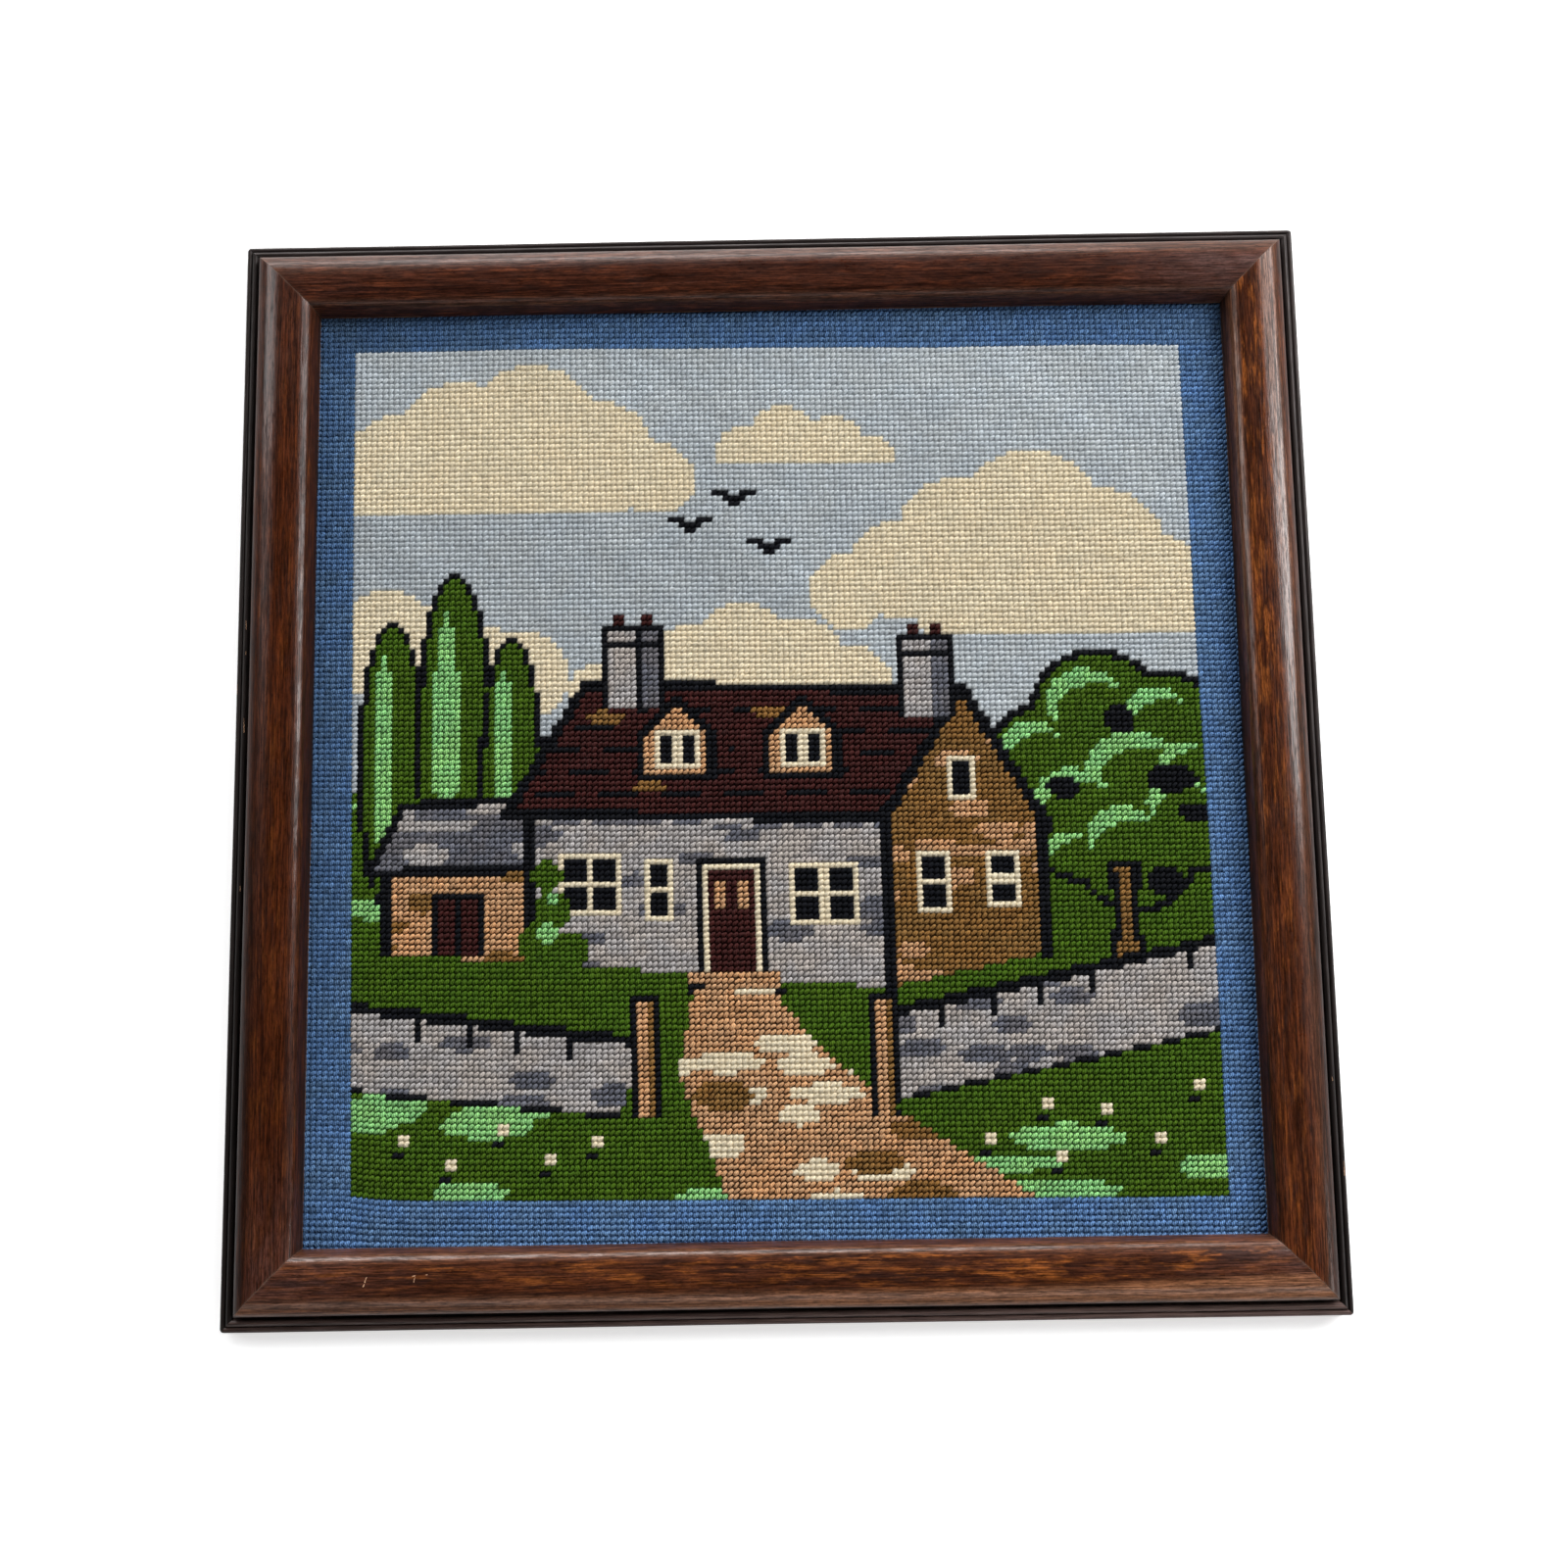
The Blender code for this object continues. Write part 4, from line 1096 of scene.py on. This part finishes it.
def ground_material():
    """Mono canvas in the holes between stitches, in the wool's hue and darkened as painted shade."""
    s = Shader("canvas_ground")
    u, v, _ = s.split(s.uv("weave"))
    wool = s.attribute("wool", "Color")
    thread_u = s.math("ABSOLUTE", s.math("SINE", s.math("MULTIPLY", u, math.pi)))
    thread_v = s.math("ABSOLUTE", s.math("SINE", s.math("MULTIPLY", v, math.pi)))
    crossing = s.math("MULTIPLY", thread_u, thread_v)
    fluff = s.noise(s.vec("MULTIPLY", s.uv("weave"), (7.0, 7.0, 1.0)), 3, 0.6)
    tint = s.mix(s.span(crossing, 0.05, 0.5, 0.80, 0.98), (0.012, 0.010, 0.009), wool)
    colour = s.times(tint, s.math("MULTIPLY", s.attribute("wool", "Alpha"), s.span(fluff, 0.3, 0.7, 0.60, 1.15)))
    s.put(
        Base_Color=colour,
        Roughness=s.span(fluff, 0.3, 0.7, 0.98, 0.9),
        Normal=s.bump(s.math("ADD", crossing, s.math("MULTIPLY", fluff, 0.4)), 0.25, 0.8),
    )
    s.bsdf.inputs["Specular IOR Level"].default_value = 0.05
    return s.mat


def reverse_material():
    """The back of the work: each row a line of long slants, two columns to one row."""
    s = Shader("needlepoint_reverse")
    weave = s.uv("weave")
    u, v, _ = s.split(weave)
    wool = s.attribute("wool", "Color")
    wander = s.noise(s.vec("MULTIPLY", weave, (0.9, 0.9, 1.0)), 2, 0.5)
    u = s.math("ADD", u, s.math("MULTIPLY", s.math("SUBTRACT", wander, 0.5), 0.55))
    row = s.math("FRACT", v)
    slant = s.math("FRACT", s.math("SUBTRACT", u, s.math("MULTIPLY", row, 2.0)))
    ridge = s.math("SINE", s.math("MULTIPLY", slant, math.pi))
    ends = s.math("SINE", s.math("MULTIPLY", row, math.pi))
    yarn = s.math("MULTIPLY", s.math("POWER", ridge, 0.6), s.math("POWER", ends, 0.35))
    fibre = s.noise(s.join(s.math("MULTIPLY", slant, 5.0), s.math("MULTIPLY", s.math("ADD", u, v), 1.7), v), 3, 0.65)
    single = s.noise(s.vec("MULTIPLY", weave, (0.45, 1.0, 1.0)), 2, 0.6)
    # Between the slants the yarn is painted darker, as painted shade.
    light = s.math("MULTIPLY", s.span(yarn, 0.05, 0.75, 0.28, 1.0), s.span(fibre, 0.3, 0.7, 0.78, 1.16))
    light = s.math("MULTIPLY", light, s.span(single, 0.35, 0.65, 0.84, 1.10))
    s.put(
        Base_Color=s.times(wool, light),
        Roughness=s.span(fibre, 0.3, 0.7, 0.97, 0.82),
        Sheen_Weight=0.08,
        Sheen_Roughness=0.5,
        Normal=s.bump(s.math("ADD", yarn, s.math("MULTIPLY", fibre, 0.22)), 0.55, 0.9),
    )
    s.bsdf.inputs["Specular IOR Level"].default_value = 0.16
    return s.mat


# ================================================================ build the part
def build_frame():
    rails = []
    for name, wood in WOODS.items():
        finish = {key: value for key, value in wood.items() if key != "turns"}
        rail = rail_mesh(name, wood["turns"], wood["seed"])
        rail.data.materials.append(mahogany(name, **finish))
        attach(rail, "root")
        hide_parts(name)
        rails.append(rail)
    return rails


def build_needlepoint():
    holes = canvas_holes()
    wool = chart()
    tones = stitch_tones(wool)
    hx, hy = holes
    mid_x = (hx[:-1, :-1] + hx[1:, 1:]) / 2
    mid_y = (hy[:-1, :-1] + hy[1:, 1:]) / 2
    worked = (np.abs(mid_x) < SHEET_HALF_W - 2.4) & (np.abs(mid_y) < SHEET_HALF_H - 2.4)
    canvas = ground_mesh(holes, wool)
    canvas.data.materials.append(ground_material())
    canvas.data.materials.append(reverse_material())
    pieces = []
    for number, (name, r, g, b, lean, long, wide, high, gloss, twist, plies, _, _, hue) in enumerate(WOOLS):
        cols, rows = np.nonzero((wool == number) & worked)
        piece = stitch_mesh("stitches_" + name, cols, rows, holes, tones[cols, rows], lean, long, wide, high, 500 + number)
        piece.data.materials.append(wool_material(name, (r, g, b), gloss, twist, plies, hue))
        pieces.append(piece)
    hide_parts("needlepoint")
    for piece in [canvas] + pieces:
        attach(piece, "root")


# ================================================================ studio
def floor():
    s = Shader("studio_floor")
    at = s.vec("SCALE", s.place(), 1.0)
    cloud = s.noise(s.vec("MULTIPLY", at, (1.3, 1.3, 1.3)), 3, 0.5)
    tooth = s.noise(s.vec("MULTIPLY", at, (900.0, 900.0, 900.0)), 2, 0.5)
    s.put(
        Base_Color=s.mix(s.span(cloud, 0.3, 0.7), (0.86, 0.86, 0.86), (0.90, 0.90, 0.90)),
        Roughness=s.span(tooth, 0.3, 0.7, 0.85, 0.95),
        Normal=s.bump(tooth, 0.05, 0.2),
        Emission_Color=(1.0, 1.0, 1.0),
        Emission_Strength=0.55,
    )
    s.bsdf.inputs["Specular IOR Level"].default_value = 0.1
    mesh = bpy.data.meshes.new("studio_floor")
    size = 14.0
    mesh.from_pydata([(-size, -size, 0), (size, -size, 0), (size, size, 0), (-size, size, 0)], [], [(0, 1, 2, 3)])
    obj = bpy.data.objects.new("studio_floor", mesh)
    obj.location = (0, 0, -0.0002)
    bpy.context.scene.collection.objects.link(obj)
    mesh.materials.append(s.mat)


# Soft lights: direction from the middle of the face (azimuth from +X towards +Y)
# and roll in degrees, distance and size in metres, power in watts
LIGHTS = (
    # name,        azimuth, elevation, roll, dist, width, height, watts
    ("key_window", 33.0, 39.5, 12.0, 2.9, 1.78, 1.40, 95.0),
    ("top_strip", 106.0, 23.5, 0.0, 3.6, 3.60, 1.05, 104.0),
    ("top_low", 104.0, 9.5, 0.0, 3.6, 3.60, 0.70, 32.0),
    ("top_right", 66.0, 14.0, 0.0, 3.6, 1.50, 0.90, 10.0),
    ("top_left", 154.0, 37.0, 0.0, 3.6, 1.00, 1.70, 18.5),
    ("low_box", -86.0, 33.0, 0.0, 3.4, 3.20, 1.35, 27.0),
    ("low_right", -11.0, 17.0, 0.0, 3.6, 0.50, 0.60, 7.0),
)


def lights():
    for name, azimuth, elevation, roll, dist, wide, tall, watts in LIGHTS:
        data = bpy.data.lights.new(name, "AREA")
        data.shape = "RECTANGLE"
        data.size, data.size_y = wide, tall
        data.energy = watts
        obj = bpy.data.objects.new(name, data)
        a, e, r = math.radians(azimuth), math.radians(elevation), math.radians(roll)
        z = np.array((math.cos(a) * math.cos(e), math.sin(a) * math.cos(e), math.sin(e)))
        x = np.cross((0, 0, 1), z)
        x /= np.linalg.norm(x)
        y = np.cross(z, x)
        x, y = x * math.cos(r) + y * math.sin(r), y * math.cos(r) - x * math.sin(r)
        m = Matrix([(x[k], y[k], z[k], z[k] * dist) for k in range(3)] + [(0, 0, 0, 1)])
        obj.matrix_world = m
        obj.visible_camera = False
        bpy.context.scene.collection.objects.link(obj)


def world():
    """A pale backdrop to look at, and a dim room round the lights."""
    w = bpy.data.worlds.new("studio")
    bpy.context.scene.world = w
    w.use_nodes = True
    tree = w.node_tree
    coord = tree.nodes.new("ShaderNodeTexCoord")
    split = tree.nodes.new("ShaderNodeSeparateXYZ")
    tree.links.new(coord.outputs["Generated"], split.inputs[0])
    shades = []
    for stops in (
        ((0.0, 0.14), (0.25, 0.07), (0.60, 0.02), (1.0, 0.015)),
        ((0.0, 0.60), (0.12, 0.73), (0.35, 0.85), (1.0, 0.90)),
    ):
        ramp = tree.nodes.new("ShaderNodeValToRGB")
        tree.links.new(split.outputs[2], ramp.inputs[0])
        bar = ramp.color_ramp
        while len(bar.elements) < len(stops):
            bar.elements.new(0.5)
        for element, (at, value) in zip(bar.elements, stops):
            element.position = at
            element.color = (value, value, value * 1.01, 1)
        shades.append(ramp.outputs[0])
    mix = tree.nodes.new("ShaderNodeMix")
    mix.data_type = "RGBA"
    tree.links.new(tree.nodes.new("ShaderNodeLightPath").outputs["Is Camera Ray"], mix.inputs[0])
    tree.links.new(shades[0], mix.inputs[6])
    tree.links.new(shades[1], mix.inputs[7])
    tree.links.new(mix.outputs[2], tree.nodes["Background"].inputs["Color"])
    tree.nodes["Background"].inputs["Strength"].default_value = 1.0


def camera():
    """The photograph's view, from above the lower half of the face."""
    data = bpy.data.cameras.new("camera")
    data.sensor_width = 36.0
    data.lens = 45.0
    data.clip_start, data.clip_end = 0.01, 60.0
    obj = bpy.data.objects.new("camera", data)
    turn = (
        Matrix.Rotation(0.016901989, 3, "Z")
        @ Matrix.Rotation(-0.003107822, 3, "Y")
        @ Matrix.Rotation(-0.150634500, 3, "X")
    )
    obj.matrix_world = Matrix.Translation((0.004601265, -0.119186684, 0.731528707)) @ turn.transposed().to_4x4()
    bpy.context.scene.collection.objects.link(obj)
    bpy.context.scene.camera = obj
    bpy.context.scene.view_settings.view_transform = "Standard"


rails = build_frame()
build_needlepoint()
floor()
lights()
world()
camera()
